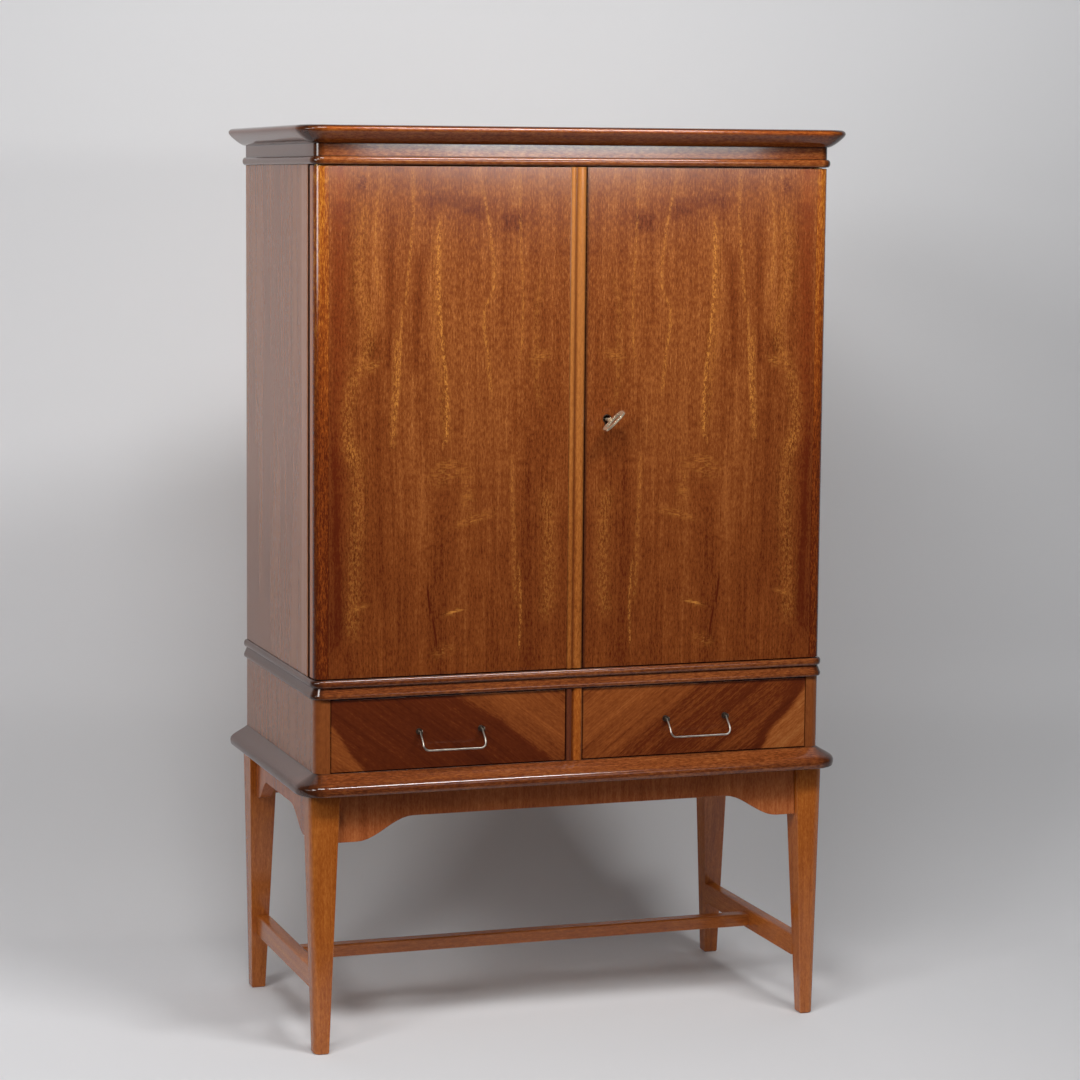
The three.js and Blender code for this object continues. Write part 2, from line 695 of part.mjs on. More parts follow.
// The left frame has the pocket that the lock's bolt enters and the holes of its own bolts
const BOLT_Z0 = 1000;
const BOLT_Z1 = 1016;
const BOLT_Y0 = 22;
const BOLT_Y1 = 30;
const BOLT_TIP = RIGHT_DOOR_EDGE + 2;
const POCKET_SIDE_ROOM = 1;
const POCKET_END_ROOM = 2;
const pocketDepth = BOLT_THROW - (BOLT_TIP - LEFT_DOOR_EDGE) + 1;
add('door_left_frame', cut(
  prismZ(doorFrameOutline(LEFT_DOOR_EDGE), DOOR_BOTTOM, DOOR_TOP),
  recess(-HALF_WIDTH + STILE, LEFT_DOOR_EDGE - STILE, frameBottom, frameTop),
  block(
    LEFT_DOOR_EDGE - pocketDepth, LEFT_DOOR_EDGE + OVERCUT,
    BOLT_Y0 - POCKET_SIDE_ROOM, BOLT_Y1 + POCKET_SIDE_ROOM,
    BOLT_Z0 - POCKET_END_ROOM, BOLT_Z1 + POCKET_END_ROOM,
  ),
  rodZ(DOOR_BOTTOM - OVERCUT, frameBottom + OVERCUT, BOLT_ROD_X, BOLT_ROD_Y, BOLT_ROD_HOLE),
  rodZ(frameTop - OVERCUT, DOOR_TOP + OVERCUT, BOLT_ROD_X, BOLT_ROD_Y, BOLT_ROD_HOLE),
  ...pinSeats(-PIVOT_X),
), innerWood);

add('meeting_strip', prismZ([
  ...mouldedFace(STRIP_LEFT, LEFT_DOOR_EDGE, STRIP_PROUD).map(([x, y]) => [x, Math.min(y, -STRIP_THINNEST)]),
  [LEFT_DOOR_EDGE, 0],
  [STRIP_LEFT, 0],
], DOOR_BOTTOM, DOOR_TOP), mouldingWood);

// Keyhole: a round hole with a slot below it, its centre a little above the key's axis
const KEYHOLE_LIFT = 1;
const KEYHOLE_RADIUS = 5.8;
const KEYHOLE_SLOT = 2.4;
const KEYHOLE_DROP = 12;
function keyholeOutline(margin) {
  const radius = KEYHOLE_RADIUS + margin;
  const half = KEYHOLE_SLOT + margin;
  const meet = THREE.MathUtils.radToDeg(Math.asin(half / radius));
  return [
    ...arc(KEY_X, KEY_Z + KEYHOLE_LIFT, radius, -90 + meet, 270 - meet, 20),
    [KEY_X - half, KEY_Z - KEYHOLE_DROP - margin],
    [KEY_X + half, KEY_Z - KEYHOLE_DROP - margin],
  ];
}

const ESCUTCHEON_RIM = 1.1;
const ESCUTCHEON_FRONT = -0.4;
const ESCUTCHEON_BACK = 1.5;
const ESCUTCHEON_GAP = 0.3;
add('door_right_panel', cut(
  prismZ(mirrored(doorPanelOutline(-RIGHT_DOOR_EDGE)), DOOR_BOTTOM, DOOR_TOP),
  prismY(keyholeOutline(0), -OVERCUT, DOOR_PANEL + OVERCUT),
  prismY(keyholeOutline(ESCUTCHEON_RIM + ESCUTCHEON_GAP), -OVERCUT, ESCUTCHEON_BACK + ESCUTCHEON_GAP),
), veneer);
add('escutcheon', cut(
  prismY(keyholeOutline(ESCUTCHEON_RIM), ESCUTCHEON_FRONT, ESCUTCHEON_BACK),
  prismY(keyholeOutline(0), -OVERCUT, DOOR_PANEL),
), steel);

// The right frame also carries the ledges of the fold-out shelf and the rail under its bracket
const LOCK_RIGHT = 74;
const LOCK_BOTTOM = 950;
const LOCK_TOP = 1026;
const LOCK_ROOM = 1;
const frameInnerLeft = RIGHT_DOOR_EDGE + STILE;
const frameInnerRight = HALF_WIDTH - STILE;
const ledgeLeftEnd = BRACKET_X + BRACKET_HEEL_ROOM;
const ledgeRightStart = BRACKET_X + BRACKET_REACH + BRACKET_TIP_ROOM;
const bracketPinHole = BRACKET_PIN + PIN_CLEARANCE;
add('door_right_frame', cut(
  prismZ(mirrored(doorFrameOutline(-RIGHT_DOOR_EDGE)), DOOR_BOTTOM, DOOR_TOP),
  recess(frameInnerLeft, frameInnerRight, frameBottom, LOWER_RAIL_BOTTOM),
  recess(frameInnerLeft, frameInnerRight, LOWER_RAIL_TOP, LEDGE_BOTTOM),
  recess(ledgeLeftEnd, ledgeRightStart, LEDGE_BOTTOM - OVERCUT, LEDGE_TOP + OVERCUT),
  recess(frameInnerLeft, frameInnerRight, LEDGE_TOP, frameTop),
  recess(RIGHT_DOOR_EDGE - OVERCUT, frameInnerLeft + OVERCUT, LOCK_BOTTOM - LOCK_ROOM, LOCK_TOP + LOCK_ROOM),
  rodZ(
    LOWER_RAIL_TOP - BRACKET_HOLE_DEPTH, LEDGE_BOTTOM + BRACKET_HOLE_DEPTH,
    BRACKET_X, BRACKET_Y, bracketPinHole,
  ),
  ...pinSeats(PIVOT_X),
), innerWood);

// Pivot pins, each with a collar that keeps the door clear of the case
function pivotPin(x, doorEnd, direction) {
  const pin = new THREE.LatheGeometry([
    new THREE.Vector2(0, -PIN_SEAT + 1),
    new THREE.Vector2(PIN_RADIUS, -PIN_SEAT + 1),
    new THREE.Vector2(PIN_RADIUS, 0),
    new THREE.Vector2(COLLAR_RADIUS, 0),
    new THREE.Vector2(COLLAR_RADIUS, COLLAR_HEIGHT),
    new THREE.Vector2(PIN_RADIUS, COLLAR_HEIGHT),
    new THREE.Vector2(PIN_RADIUS, PIN_LENGTH + DOOR_GAP - 1),
    new THREE.Vector2(PIN_RADIUS - 1, PIN_LENGTH + DOOR_GAP),
    new THREE.Vector2(0, PIN_LENGTH + DOOR_GAP),
  ], 16);
  return pin.rotateX((direction * Math.PI) / 2).translate(x, PIVOT_Y, doorEnd);
}

add('pivot_pin_left_top', pivotPin(-PIVOT_X, DOOR_TOP, 1), brass);
add('pivot_pin_left_bottom', pivotPin(-PIVOT_X, DOOR_BOTTOM, -1), brass);
add('pivot_pin_right_top', pivotPin(PIVOT_X, DOOR_TOP, 1), brass);
add('pivot_pin_right_bottom', pivotPin(PIVOT_X, DOOR_BOTTOM, -1), brass);

// Lock: the case has a round chamber for the key's bit and a channel for the bolt
const LOCK_LEFT = RIGHT_DOOR_EDGE + 0.5;
const LOCK_FRONT = DOOR_PANEL + 0.4;
const LOCK_BACK = 34;
add('lock_case', cut(
  block(LOCK_LEFT, LOCK_RIGHT, LOCK_FRONT, LOCK_BACK, LOCK_BOTTOM, LOCK_TOP),
  rodY(LOCK_FRONT - OVERCUT, CHAMBER_BACK, KEY_X, KEY_Z, BIT_REACH + CHAMBER_CLEARANCE, 24),
  block(
    LOCK_LEFT - OVERCUT, BOLT_CHANNEL_END,
    BOLT_Y0 - BOLT_CLEARANCE, BOLT_Y1 + BOLT_CLEARANCE,
    BOLT_Z0 - BOLT_CLEARANCE, BOLT_Z1 + BOLT_CLEARANCE,
  ),
), brass);
const BOLT_LENGTH = 30;
const boltNose = 3;
add('lock_bolt', prismZ([
  [BOLT_TIP, BOLT_Y0 + boltNose / 2],
  [BOLT_TIP + boltNose, BOLT_Y0],
  [BOLT_TIP + BOLT_LENGTH, BOLT_Y0],
  [BOLT_TIP + BOLT_LENGTH, BOLT_Y1],
  [BOLT_TIP, BOLT_Y1],
], BOLT_Z0, BOLT_Z1), steel);

// Key: a flat bow with full ends and a hole, a round shank and a bit in the bow's plane.
// It is made with the bow lying level in x and y, and then turned about the shank.
const BOW_WIDTH = 43;
const BOW_LENGTH = 26;
const BOW_THICK = 3.2;
const BOW_RIM = 6;
const BOW_HOLE_SHIFT = -0.5;
const BOW_FULLNESS = 2 / 3;
function fullOval(cy, a, b, steps) {
  const swell = (value) => Math.sign(value) * Math.abs(value) ** BOW_FULLNESS;
  return arc(0, 0, 1, 0, 360, steps).slice(0, -1).map(([x, y]) => [a * swell(x), cy + b * swell(y)]);
}
function key() {
  const bowCentre = -KEY_REACH + BOW_LENGTH / 2;
  const bow = cut(
    prismZ(fullOval(bowCentre, BOW_WIDTH / 2, BOW_LENGTH / 2, 36), -BOW_THICK / 2, BOW_THICK / 2),
    prismZ(
      fullOval(bowCentre + BOW_HOLE_SHIFT, BOW_WIDTH / 2 - BOW_RIM, BOW_LENGTH / 2 - BOW_RIM, 28),
      -BOW_THICK, BOW_THICK,
    ),
  );
  const shank = rodY(-KEY_REACH + BOW_LENGTH - BOW_RIM / 2, SHANK_END, 0, 0, SHANK_RADIUS, 12);
  const collar = rodY(KEY_COLLAR_FRONT, KEY_COLLAR_BACK, 0, 0, KEY_COLLAR_RADIUS, 12);
  const bit = block(BIT_START, BIT_REACH, BIT_FRONT, BIT_BACK, -BIT_HALF, BIT_HALF);
  return join(bow, shank, collar, bit).rotateY(-KEY_TILT).translate(KEY_X, 0, KEY_Z);
}
add('key', key(), steel);

// Bolts of the left door: a rod with a small knob, drawn back at rest.
// A direction of 1 goes up into the frieze and -1 down into the waist.
const BOLT_ROD_LENGTH = 87.5;
const BOLT_END_INSET = 0.5;
const KNOB_RADIUS = 4.5;
const KNOB_FROM_END = 8;
function flushBolt(doorEnd, direction) {
  const tip = doorEnd - direction * BOLT_END_INSET;
  const tail = tip - direction * BOLT_ROD_LENGTH;
  const knobZ = tail + direction * KNOB_FROM_END;
  return join(
    rodZ(Math.min(tip, tail), Math.max(tip, tail), BOLT_ROD_X, BOLT_ROD_Y, BOLT_ROD_RADIUS, 12),
    rodY(BOLT_ROD_Y - BOLT_ROD_RADIUS / 2, DOOR_DEPTH - BOLT_END_INSET, BOLT_ROD_X, knobZ, KNOB_RADIUS, 12),
  );
}
add('flush_bolt_top', flushBolt(DOOR_TOP, 1), brass);
add('flush_bolt_bottom', flushBolt(DOOR_BOTTOM, -1), brass);

// Fold-out shelf: stowed upright in the tray of the right door
const shelfEase = 1.5;
const shelfBack = SHELF_FRONT + SHELF_THICK;
add('fold_out_shelf', prismX([
  [SHELF_FRONT, SHELF_BOTTOM],
  [shelfBack, SHELF_BOTTOM],
  [shelfBack, SHELF_BOTTOM + SHELF_REACH - shelfEase],
  [shelfBack - shelfEase, SHELF_BOTTOM + SHELF_REACH],
  [SHELF_FRONT + shelfEase, SHELF_BOTTOM + SHELF_REACH],
  [SHELF_FRONT, SHELF_BOTTOM + SHELF_REACH - shelfEase],
], SHELF_LEFT, SHELF_RIGHT), veneer);

// Butt hinges of the shelf. The flap on the ledge has the two outer knuckles and the pin, and the
// flap on the shelf has the middle knuckle.
const KNUCKLE = 2.4;
const HINGE_PIN = 1.2;
const FLAP_THICK = 1.2;
const FLAP_HEIGHT = 20;
const OUTER_KNUCKLE = 15;
const HINGE_WIDTH = 50;
const HINGE_MARGIN_LEFT = 12;
const HINGE_MARGIN_RIGHT = 4;
const KNUCKLE_GAP = 0.4;
const FLAP_GAP = 0.5;

function ledgeFlap(x0) {
  const x1 = x0 + HINGE_WIDTH;
  const plate = (a, b, z1) => block(a, b, DOOR_DEPTH, DOOR_DEPTH + FLAP_THICK, LEDGE_TOP - FLAP_HEIGHT, z1);
  return join(
    plate(x0, x1, SHELF_AXIS_Z - KNUCKLE - FLAP_GAP),
    plate(x0, x0 + OUTER_KNUCKLE, SHELF_AXIS_Z),
    plate(x1 - OUTER_KNUCKLE, x1, SHELF_AXIS_Z),
    rodX(x0, x0 + OUTER_KNUCKLE, SHELF_AXIS_Y, SHELF_AXIS_Z, KNUCKLE, 12),
    rodX(x1 - OUTER_KNUCKLE, x1, SHELF_AXIS_Y, SHELF_AXIS_Z, KNUCKLE, 12),
    rodX(x0 + 1, x1 - 1, SHELF_AXIS_Y, SHELF_AXIS_Z, HINGE_PIN, 12),
  );
}

function shelfFlap(x0) {
  const a = x0 + OUTER_KNUCKLE + KNUCKLE_GAP;
  const b = x0 + HINGE_WIDTH - OUTER_KNUCKLE - KNUCKLE_GAP;
  const top = SHELF_BOTTOM + FLAP_HEIGHT;
  return cut(
    join(
      block(x0, x0 + HINGE_WIDTH, shelfBack, shelfBack + FLAP_THICK, SHELF_BOTTOM + FLAP_GAP, top),
      block(a, b, shelfBack, shelfBack + FLAP_THICK, SHELF_AXIS_Z, top),
      rodX(a, b, SHELF_AXIS_Y, SHELF_AXIS_Z, KNUCKLE, 12),
    ),
    rodX(a - OVERCUT, b + OVERCUT, SHELF_AXIS_Y, SHELF_AXIS_Z, HINGE_PIN + PIN_CLEARANCE, 12),
  );
}

const leftHingeX = SHELF_LEFT + HINGE_MARGIN_LEFT;
const rightHingeX = SHELF_RIGHT - HINGE_MARGIN_RIGHT - HINGE_WIDTH;
add('ledge_flap_left', ledgeFlap(leftHingeX), brass);
add('ledge_flap_right', ledgeFlap(rightHingeX), brass);
add('shelf_flap_left', shelfFlap(leftHingeX), brass);
add('shelf_flap_right', shelfFlap(rightHingeX), brass);

// Bracket: a shaped arm on an upright barrel that swings out under the shelf
const BRACKET_TOP = SHELF_BOTTOM - FLAP_GAP;
const barrelBottom = LOWER_RAIL_TOP + BARREL_GAP;
const barrelTop = LEDGE_BOTTOM - BARREL_GAP;
function bracket() {
  const armStart = BRACKET_X + BRACKET_ARM_START;
  const armEnd = BRACKET_X + BRACKET_REACH;
  const lower = [];
  const steps = 8;
  for (let i = 0; i <= steps; i += 1) {
    const t = i / steps;
    const rise = (BRACKET_TOP - BRACKET_TIP_DEPTH - barrelBottom) * t ** 0.55;
    lower.push([armStart + (armEnd - armStart) * t, barrelBottom + rise]);
  }
  const arm = prismY([
    [BRACKET_X, barrelBottom],
    ...lower,
    [armEnd, BRACKET_TOP],
    [armStart, BRACKET_TOP],
    [armStart, barrelTop],
    [BRACKET_X, barrelTop],
  ], BRACKET_Y - BRACKET_HALF, BRACKET_Y + BRACKET_HALF);
  return join(
    arm,
    rodZ(barrelBottom, barrelTop, BRACKET_X, BRACKET_Y, BRACKET_HALF, 16),
    rodZ(
      LOWER_RAIL_TOP - BRACKET_PIN_DEPTH, LEDGE_BOTTOM + BRACKET_PIN_DEPTH,
      BRACKET_X, BRACKET_Y, BRACKET_PIN, 12,
    ),
  );
}
add('shelf_bracket', bracket(), innerWood);

// Drawers: front, a box of sides and back, a bottom, and a bail pull on two posts
function drawer(side, name) {
  const inner = STILE_HALF + DRAWER_GAP;
  const outer = POST_INNER - DRAWER_GAP;
  const span = (a, b) => (side < 0 ? [-b, -a] : [a, b]);
  const [x0, x1] = span(inner, outer);
  const z0 = BASE_TOP + DRAWER_GAP;
  const z1 = WAIST_BOTTOM - DRAWER_GAP;
  add(`${name}_front`, block(x0, x1, 0, DRAWER_FRONT, z0, z1), drawerVeneer);

  const boxX0 = x0 + DRAWER_SIDE_GAP;
  const boxX1 = x1 - DRAWER_SIDE_GAP;
  const boxTop = z1 - DRAWER_BOX_DROP;
  const bottomZ = z0 + DRAWER_BOTTOM_LIFT;
  add(`${name}_box`, prismZ([
    [boxX0, DRAWER_FRONT],
    [boxX0 + DRAWER_SIDE, DRAWER_FRONT],
    [boxX0 + DRAWER_SIDE, DRAWER_BACK - DRAWER_SIDE],
    [boxX1 - DRAWER_SIDE, DRAWER_BACK - DRAWER_SIDE],
    [boxX1 - DRAWER_SIDE, DRAWER_FRONT],
    [boxX1, DRAWER_FRONT],
    [boxX1, DRAWER_BACK],
    [boxX0, DRAWER_BACK],
  ], z0, boxTop), innerWood);
  add(`${name}_bottom`, block(
    boxX0 + DRAWER_SIDE, boxX1 - DRAWER_SIDE, DRAWER_FRONT, DRAWER_BACK - DRAWER_SIDE,
    bottomZ, bottomZ + DRAWER_BOTTOM_THICK,
  ), innerWood);

  const centre = side * DRAWER_CENTRE;
  add(`${name}_pull_post_left`, pullPost(centre - PULL_HALF_WIDTH), steel);
  add(`${name}_pull_post_right`, pullPost(centre + PULL_HALF_WIDTH), steel);
  add(`${name}_bail`, bail().translate(centre, BAIL_AXIS_Y, HANDLE_HEIGHT), steel);
}

// A post with a round foot and a forked head. The arm of the bail turns in the fork on a cross pin.
function pullPost(x) {
  const forkBack = BAIL_AXIS_Y + FORK_BACK;
  const body = join(
    rodY(-POST_FOOT_THICK, 0, x, HANDLE_HEIGHT, POST_FOOT_RADIUS, 24),
    rodY(forkBack, -POST_FOOT_THICK / 2, x, HANDLE_HEIGHT, POST_NECK_RADIUS, 16),
    rodX(x - POST_HEAD_HALF, x + POST_HEAD_HALF, BAIL_AXIS_Y, HANDLE_HEIGHT, POST_HEAD_RADIUS, 24),
  );
  const slot = block(
    x - FORK_HALF, x + FORK_HALF,
    BAIL_AXIS_Y - OVERCUT, forkBack,
    HANDLE_HEIGHT - OVERCUT, HANDLE_HEIGHT + OVERCUT,
  );
  const hole = rodX(x - OVERCUT, x + OVERCUT, BAIL_AXIS_Y, HANDLE_HEIGHT, BAIL_PIN + PIN_CLEARANCE, 12);
  return cut(body, slot, hole);
}

// The bail: its arms start at the pins, come forward as they fall, and end in a level grip
function bail() {
  const arm = PULL_HALF_WIDTH;
  const low = 1 - BAIL_CORNER / BAIL_DROP;
  const pastPin = -0.025;
  const at = (x, t) => new THREE.Vector3(x, -BAIL_LEAN * Math.sin((Math.PI / 2) * t), -BAIL_DROP * t);
  const corner = (sign, degrees) => {
    const angle = THREE.MathUtils.degToRad(degrees);
    return at(sign * (arm - BAIL_CORNER * (1 - Math.cos(angle))), low + (1 - low) * Math.sin(angle));
  };
  const side = (sign) => [
    ...[pastPin, 0.2, 0.4].map((t) => at(sign * arm, t)),
    ...[0, 30, 60, 90].map((degrees) => corner(sign, degrees)),
  ];
  const wire = tube([...side(-1), ...side(1).reverse()], BAIL_WIRE, 8);
  const pins = [-arm, arm].map((x) => rodX(x - BAIL_PIN_HALF, x + BAIL_PIN_HALF, 0, 0, BAIL_PIN, 10));
  return join(wire, ...pins);
}

// A tube through points, with mitred bends and closed ends
function tube(points, radius, sides) {
  const positions = [];
  const index = [];
  const reference = new THREE.Vector3(0, 1, 0);
  points.forEach((point, i) => {
    const before = points[Math.max(i - 1, 0)];
    const after = points[Math.min(i + 1, points.length - 1)];
    const tangent = after.clone().sub(before).normalize();
    const across = reference.clone().cross(tangent).normalize();
    const up = tangent.clone().cross(across).normalize();
    for (let k = 0; k < sides; k += 1) {
      const angle = (2 * Math.PI * k) / sides;
      const rim = point.clone()
        .addScaledVector(across, radius * Math.cos(angle))
        .addScaledVector(up, radius * Math.sin(angle));
      positions.push(rim.x, rim.y, rim.z);
    }
  });
  for (let i = 0; i + 1 < points.length; i += 1) {
    for (let k = 0; k < sides; k += 1) {
      const a = i * sides + k;
      const b = i * sides + ((k + 1) % sides);
      index.push(a, b, b + sides, a, b + sides, a + sides);
    }
  }
  const last = (points.length - 1) * sides;
  for (let k = 1; k + 1 < sides; k += 1) {
    index.push(0, k + 1, k);
    index.push(last, last + k, last + k + 1);
  }
  const geometry = new THREE.BufferGeometry();
  geometry.setAttribute('position', new THREE.Float32BufferAttribute(positions, 3));
  geometry.setIndex(index);
  return geometry;
}

drawer(-1, 'drawer_left');
drawer(1, 'drawer_right');

export default cabinet;
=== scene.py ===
# Bar cabinet with a fold-out shelf: finished surfaces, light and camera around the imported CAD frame.
# Everything is in metres in the row frame. Materials measure in millimetres from the same origin.

import math

import bmesh
import bpy
from mathutils import Matrix, Vector


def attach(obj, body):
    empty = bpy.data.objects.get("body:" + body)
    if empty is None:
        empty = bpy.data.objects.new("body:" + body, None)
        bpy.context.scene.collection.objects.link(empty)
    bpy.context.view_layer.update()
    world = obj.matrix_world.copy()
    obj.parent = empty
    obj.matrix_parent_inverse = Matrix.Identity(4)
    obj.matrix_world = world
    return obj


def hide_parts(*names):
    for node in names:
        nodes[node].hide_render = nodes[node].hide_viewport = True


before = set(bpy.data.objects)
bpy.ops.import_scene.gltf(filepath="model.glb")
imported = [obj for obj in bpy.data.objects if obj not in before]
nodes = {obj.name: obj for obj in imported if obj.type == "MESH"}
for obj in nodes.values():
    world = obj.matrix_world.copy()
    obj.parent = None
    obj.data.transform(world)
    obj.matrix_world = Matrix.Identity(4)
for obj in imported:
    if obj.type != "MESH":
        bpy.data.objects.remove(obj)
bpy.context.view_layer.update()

MM = 0.001

# Row y of the plane that the doors and drawers share, in mm
FRONT_Y = -198.0

# Sizes of the case that the mouldings and the veneers follow, in mm
HALF_WIDTH = 425.0
CASE_DEPTH = 440.0
CORNER_RADIUS = 15.0
INNER_HALF = 407.0
RAIL_DEPTH = 42.0
BASE_INNER_HALF = 395.0
BASE_RAIL_DEPTH = 30.0
BASE_BOTTOM = 412.0
BASE_TOP = 446.4
WAIST_BOTTOM = 562.6
WAIST_MIDDLE = 580.1
WAIST_TOP = 593.0
FRIEZE_BOTTOM = 1383.5
BEAD_TOP = 1396.5
CORNICE_BOTTOM = 1415.2
TOTAL_HEIGHT = 1443.0
STRIP_LEFT = -14.0
STRIP_RIGHT = 12.0
STILE_HALF = 13.7
PIVOT_X = 414.0
PIVOT_Y = 21.0
PIVOT_HOLE = 3.12
PIVOT_HOLE_DEPTH = 12.0
BOLT_X = -30.0
BOLT_Y = 26.5
BOLT_HOLE = 3.6
BOLT_HOLE_DEPTH = 13.0

# Where the finishes change: u is the distance from the middle, y the distance behind the front, in mm
LIPPING_INNER = 403.5
LIPPING_TURN = 420.0
RED_BAND_U = 388.0
STAIN_FROM_U = 424.0
BACK_CORNER_U = 419.0
BACK_CORNER_Y = 32.0
SIDE_LIPPING_Y = 81.0
REBATE_OUTER_U = 423.4
REBATE_INNER_U = 412.0
REBATE_Y = 51.0
POST_Y = 14.0

# Edges that turn by more than this stay sharp
SHARP = math.radians(32)

# The camera, solved from the photograph
CAMERA_YAW = math.radians(17.573)
CAMERA_PITCH = math.radians(6.464)
CAMERA_ROLL = math.radians(0.2987)
CAMERA_PLACE = (-1.5988, -4.5522, 1.3598)
CAMERA_LENS = 98.77
CAMERA_SHIFT = (0.0898, -0.0218)


# Material building
class Value:
    """A socket in a node tree. Arithmetic on it adds Math nodes."""

    def __init__(self, net, socket):
        self.net = net
        self.socket = socket

    def __add__(self, other):
        return self.net.math("ADD", self, other)

    def __radd__(self, other):
        return self.net.math("ADD", other, self)

    def __sub__(self, other):
        return self.net.math("SUBTRACT", self, other)

    def __rsub__(self, other):
        return self.net.math("SUBTRACT", other, self)

    def __mul__(self, other):
        return self.net.math("MULTIPLY", self, other)

    def __truediv__(self, other):
        return self.net.math("DIVIDE", self, other)


class Net:
    """A material and the nodes in it. x, y and z are the place of the shaded point, in mm."""

    def __init__(self, name):
        self.material = bpy.data.materials.new(name)
        self.material.use_nodes = True
        self.tree = self.material.node_tree
        self.tree.nodes.clear()
        here = self.node("ShaderNodeTexCoord").outputs["Object"]
        parts = self.node("ShaderNodeSeparateXYZ")
        self.tree.links.new(here, parts.inputs[0])
        self.x = Value(self, parts.outputs[0]) * 1000.0
        self.y = Value(self, parts.outputs[1]) * 1000.0
        self.z = Value(self, parts.outputs[2]) * 1000.0

    def node(self, kind, **settings):
        made = self.tree.nodes.new(kind)
        for key, value in settings.items():
            setattr(made, key, value)
        return made

    def plug(self, socket, value):
        if isinstance(value, Value):
            self.tree.links.new(value.socket, socket)
        else:
            socket.default_value = value

    def math(self, operation, *values, clamp=False):
        made = self.node("ShaderNodeMath", operation=operation, use_clamp=clamp)
        for socket, value in zip(made.inputs, values):
            self.plug(socket, value)
        return Value(self, made.outputs[0])

    def clamp(self, value):
        return self.math("ADD", value, 0.0, clamp=True)

    def absolute(self, value):
        return self.math("ABSOLUTE", value)

    def above(self, value, edge, soft):
        """0 below edge - soft, 1 above edge + soft."""
        made = self.node("ShaderNodeMapRange", interpolation_type="SMOOTHSTEP")
        self.plug(made.inputs[0], value)
        self.plug(made.inputs[1], edge - soft)
        self.plug(made.inputs[2], edge + soft)
        return Value(self, made.outputs[0])

    def bell(self, value, centre, width):
        """A bell curve round centre."""
        ratio = (value - centre) / width
        return self.math("EXPONENT", self.math("MULTIPLY", ratio * ratio, -1.0))

    def vector(self, x, y, z):
        made = self.node("ShaderNodeCombineXYZ")
        for socket, value in zip(made.inputs, (x, y, z)):
            self.plug(socket, value)
        return Value(self, made.outputs[0])

    def noise(self, x, y, z, detail=2.0, rough=0.5, distortion=0.0):
        """Noise about 0, roughly between -0.5 and 0.5."""
        made = self.node("ShaderNodeTexNoise")
        self.plug(made.inputs["Vector"], self.vector(x, y, z))
        made.inputs["Scale"].default_value = 1.0
        made.inputs["Detail"].default_value = detail
        made.inputs["Roughness"].default_value = rough
        made.inputs["Distortion"].default_value = distortion
        return Value(self, made.outputs[0]) - 0.5

    def curve(self, value, points):
        """A smooth curve through (input, output) points."""
        xs = [p[0] for p in points]
        ys = [p[1] for p in points]
        x0, x1 = min(xs), max(xs)
        y0, y1 = min(ys) - 1.0, max(ys) + 1.0
        made = self.node("ShaderNodeFloatCurve")
        line = made.mapping.curves[0]
        scaled = sorted(((x - x0) / (x1 - x0), (y - y0) / (y1 - y0)) for x, y in points)
        while len(line.points) < len(scaled):
            line.points.new(0.5, 0.5)
        for point, (a, b) in zip(line.points, scaled):
            point.location = (a, b)
        made.mapping.update()
        self.plug(made.inputs["Value"], self.clamp((value - x0) / (x1 - x0)))
        return Value(self, made.outputs[0]) * (y1 - y0) + y0

    def ramp(self, value, stops):
        """A colour from value, through (value, colour) stops."""
        made = self.node("ShaderNodeValToRGB")
        elements = made.color_ramp.elements
        while len(elements) < len(stops):
            elements.new(0.5)
        for element, (place, colour) in zip(elements, stops):
            element.position = place
            element.color = colour
        self.plug(made.inputs[0], value)
        return Value(self, made.outputs[0])

    def mix(self, factor, a, b):
        """A colour: a where factor is 0, b where it is 1."""
        made = self.node("ShaderNodeMix", data_type="RGBA")
        self.plug(made.inputs[0], factor)
        self.plug(made.inputs[6], a)
        self.plug(made.inputs[7], b)
        return Value(self, made.outputs[2])

    def either(self, factor, a, b):
        """A number: a where factor is 0, b where it is 1."""
        return a + factor * (b - a)

    def bump(self, height, distance):
        made = self.node("ShaderNodeBump")
        made.inputs["Strength"].default_value = 1.0
        made.inputs["Distance"].default_value = distance
        self.plug(made.inputs["Height"], height)
        return Value(self, made.outputs[0])

    def worn_edge(self, radius):
        """1 on convex and concave arrises, 0 on open faces."""
        full = 0.12
        soft = self.node("ShaderNodeBevel", samples=4)
        soft.inputs["Radius"].default_value = radius
        face = self.node("ShaderNodeNewGeometry")
        dot = self.node("ShaderNodeVectorMath", operation="DOT_PRODUCT")
        self.tree.links.new(soft.outputs[0], dot.inputs[0])
        self.tree.links.new(face.outputs["True Normal"], dot.inputs[1])
        gap = 1.0 - Value(self, dot.outputs["Value"])
        return self.clamp(gap / full)

    def surface(self, colour, roughness, normal=None, **constants):
        """Finishes the material. constants are the shader's plain values, with _ for a space in a name."""
        shader = self.node("ShaderNodeBsdfPrincipled")
        self.plug(shader.inputs["Base Color"], colour)
        self.plug(shader.inputs["Roughness"], roughness)
        if normal is not None:
            self.plug(shader.inputs["Normal"], normal)
        for key, value in constants.items():
            shader.inputs[key.replace("_", " ")].default_value = value
        output = self.node("ShaderNodeOutputMaterial")
        self.tree.links.new(shader.outputs[0], output.inputs[0])
        return self.material


def linear(red, green, blue):
    """An 8-bit screen colour as a linear one."""
    def one(level):
        level /= 255.0
        return level / 12.92 if level <= 0.04045 else ((level + 0.055) / 1.055) ** 2.4
    return (one(red), one(green), one(blue), 1.0)


# Wood
class Grain:
    """The strengths of the layers in one kind of wood. wander and relief are in mm."""

    def __init__(
        self, bands=0.45, streaks=0.45, flecks=0.2, darks=0.14, mottle=0.12, wander=30.0, relief=0.02
    ):
        self.bands = bands
        self.streaks = streaks
        self.flecks = flecks
        self.darks = darks
        self.mottle = mottle
        self.wander = wander
        self.relief = relief


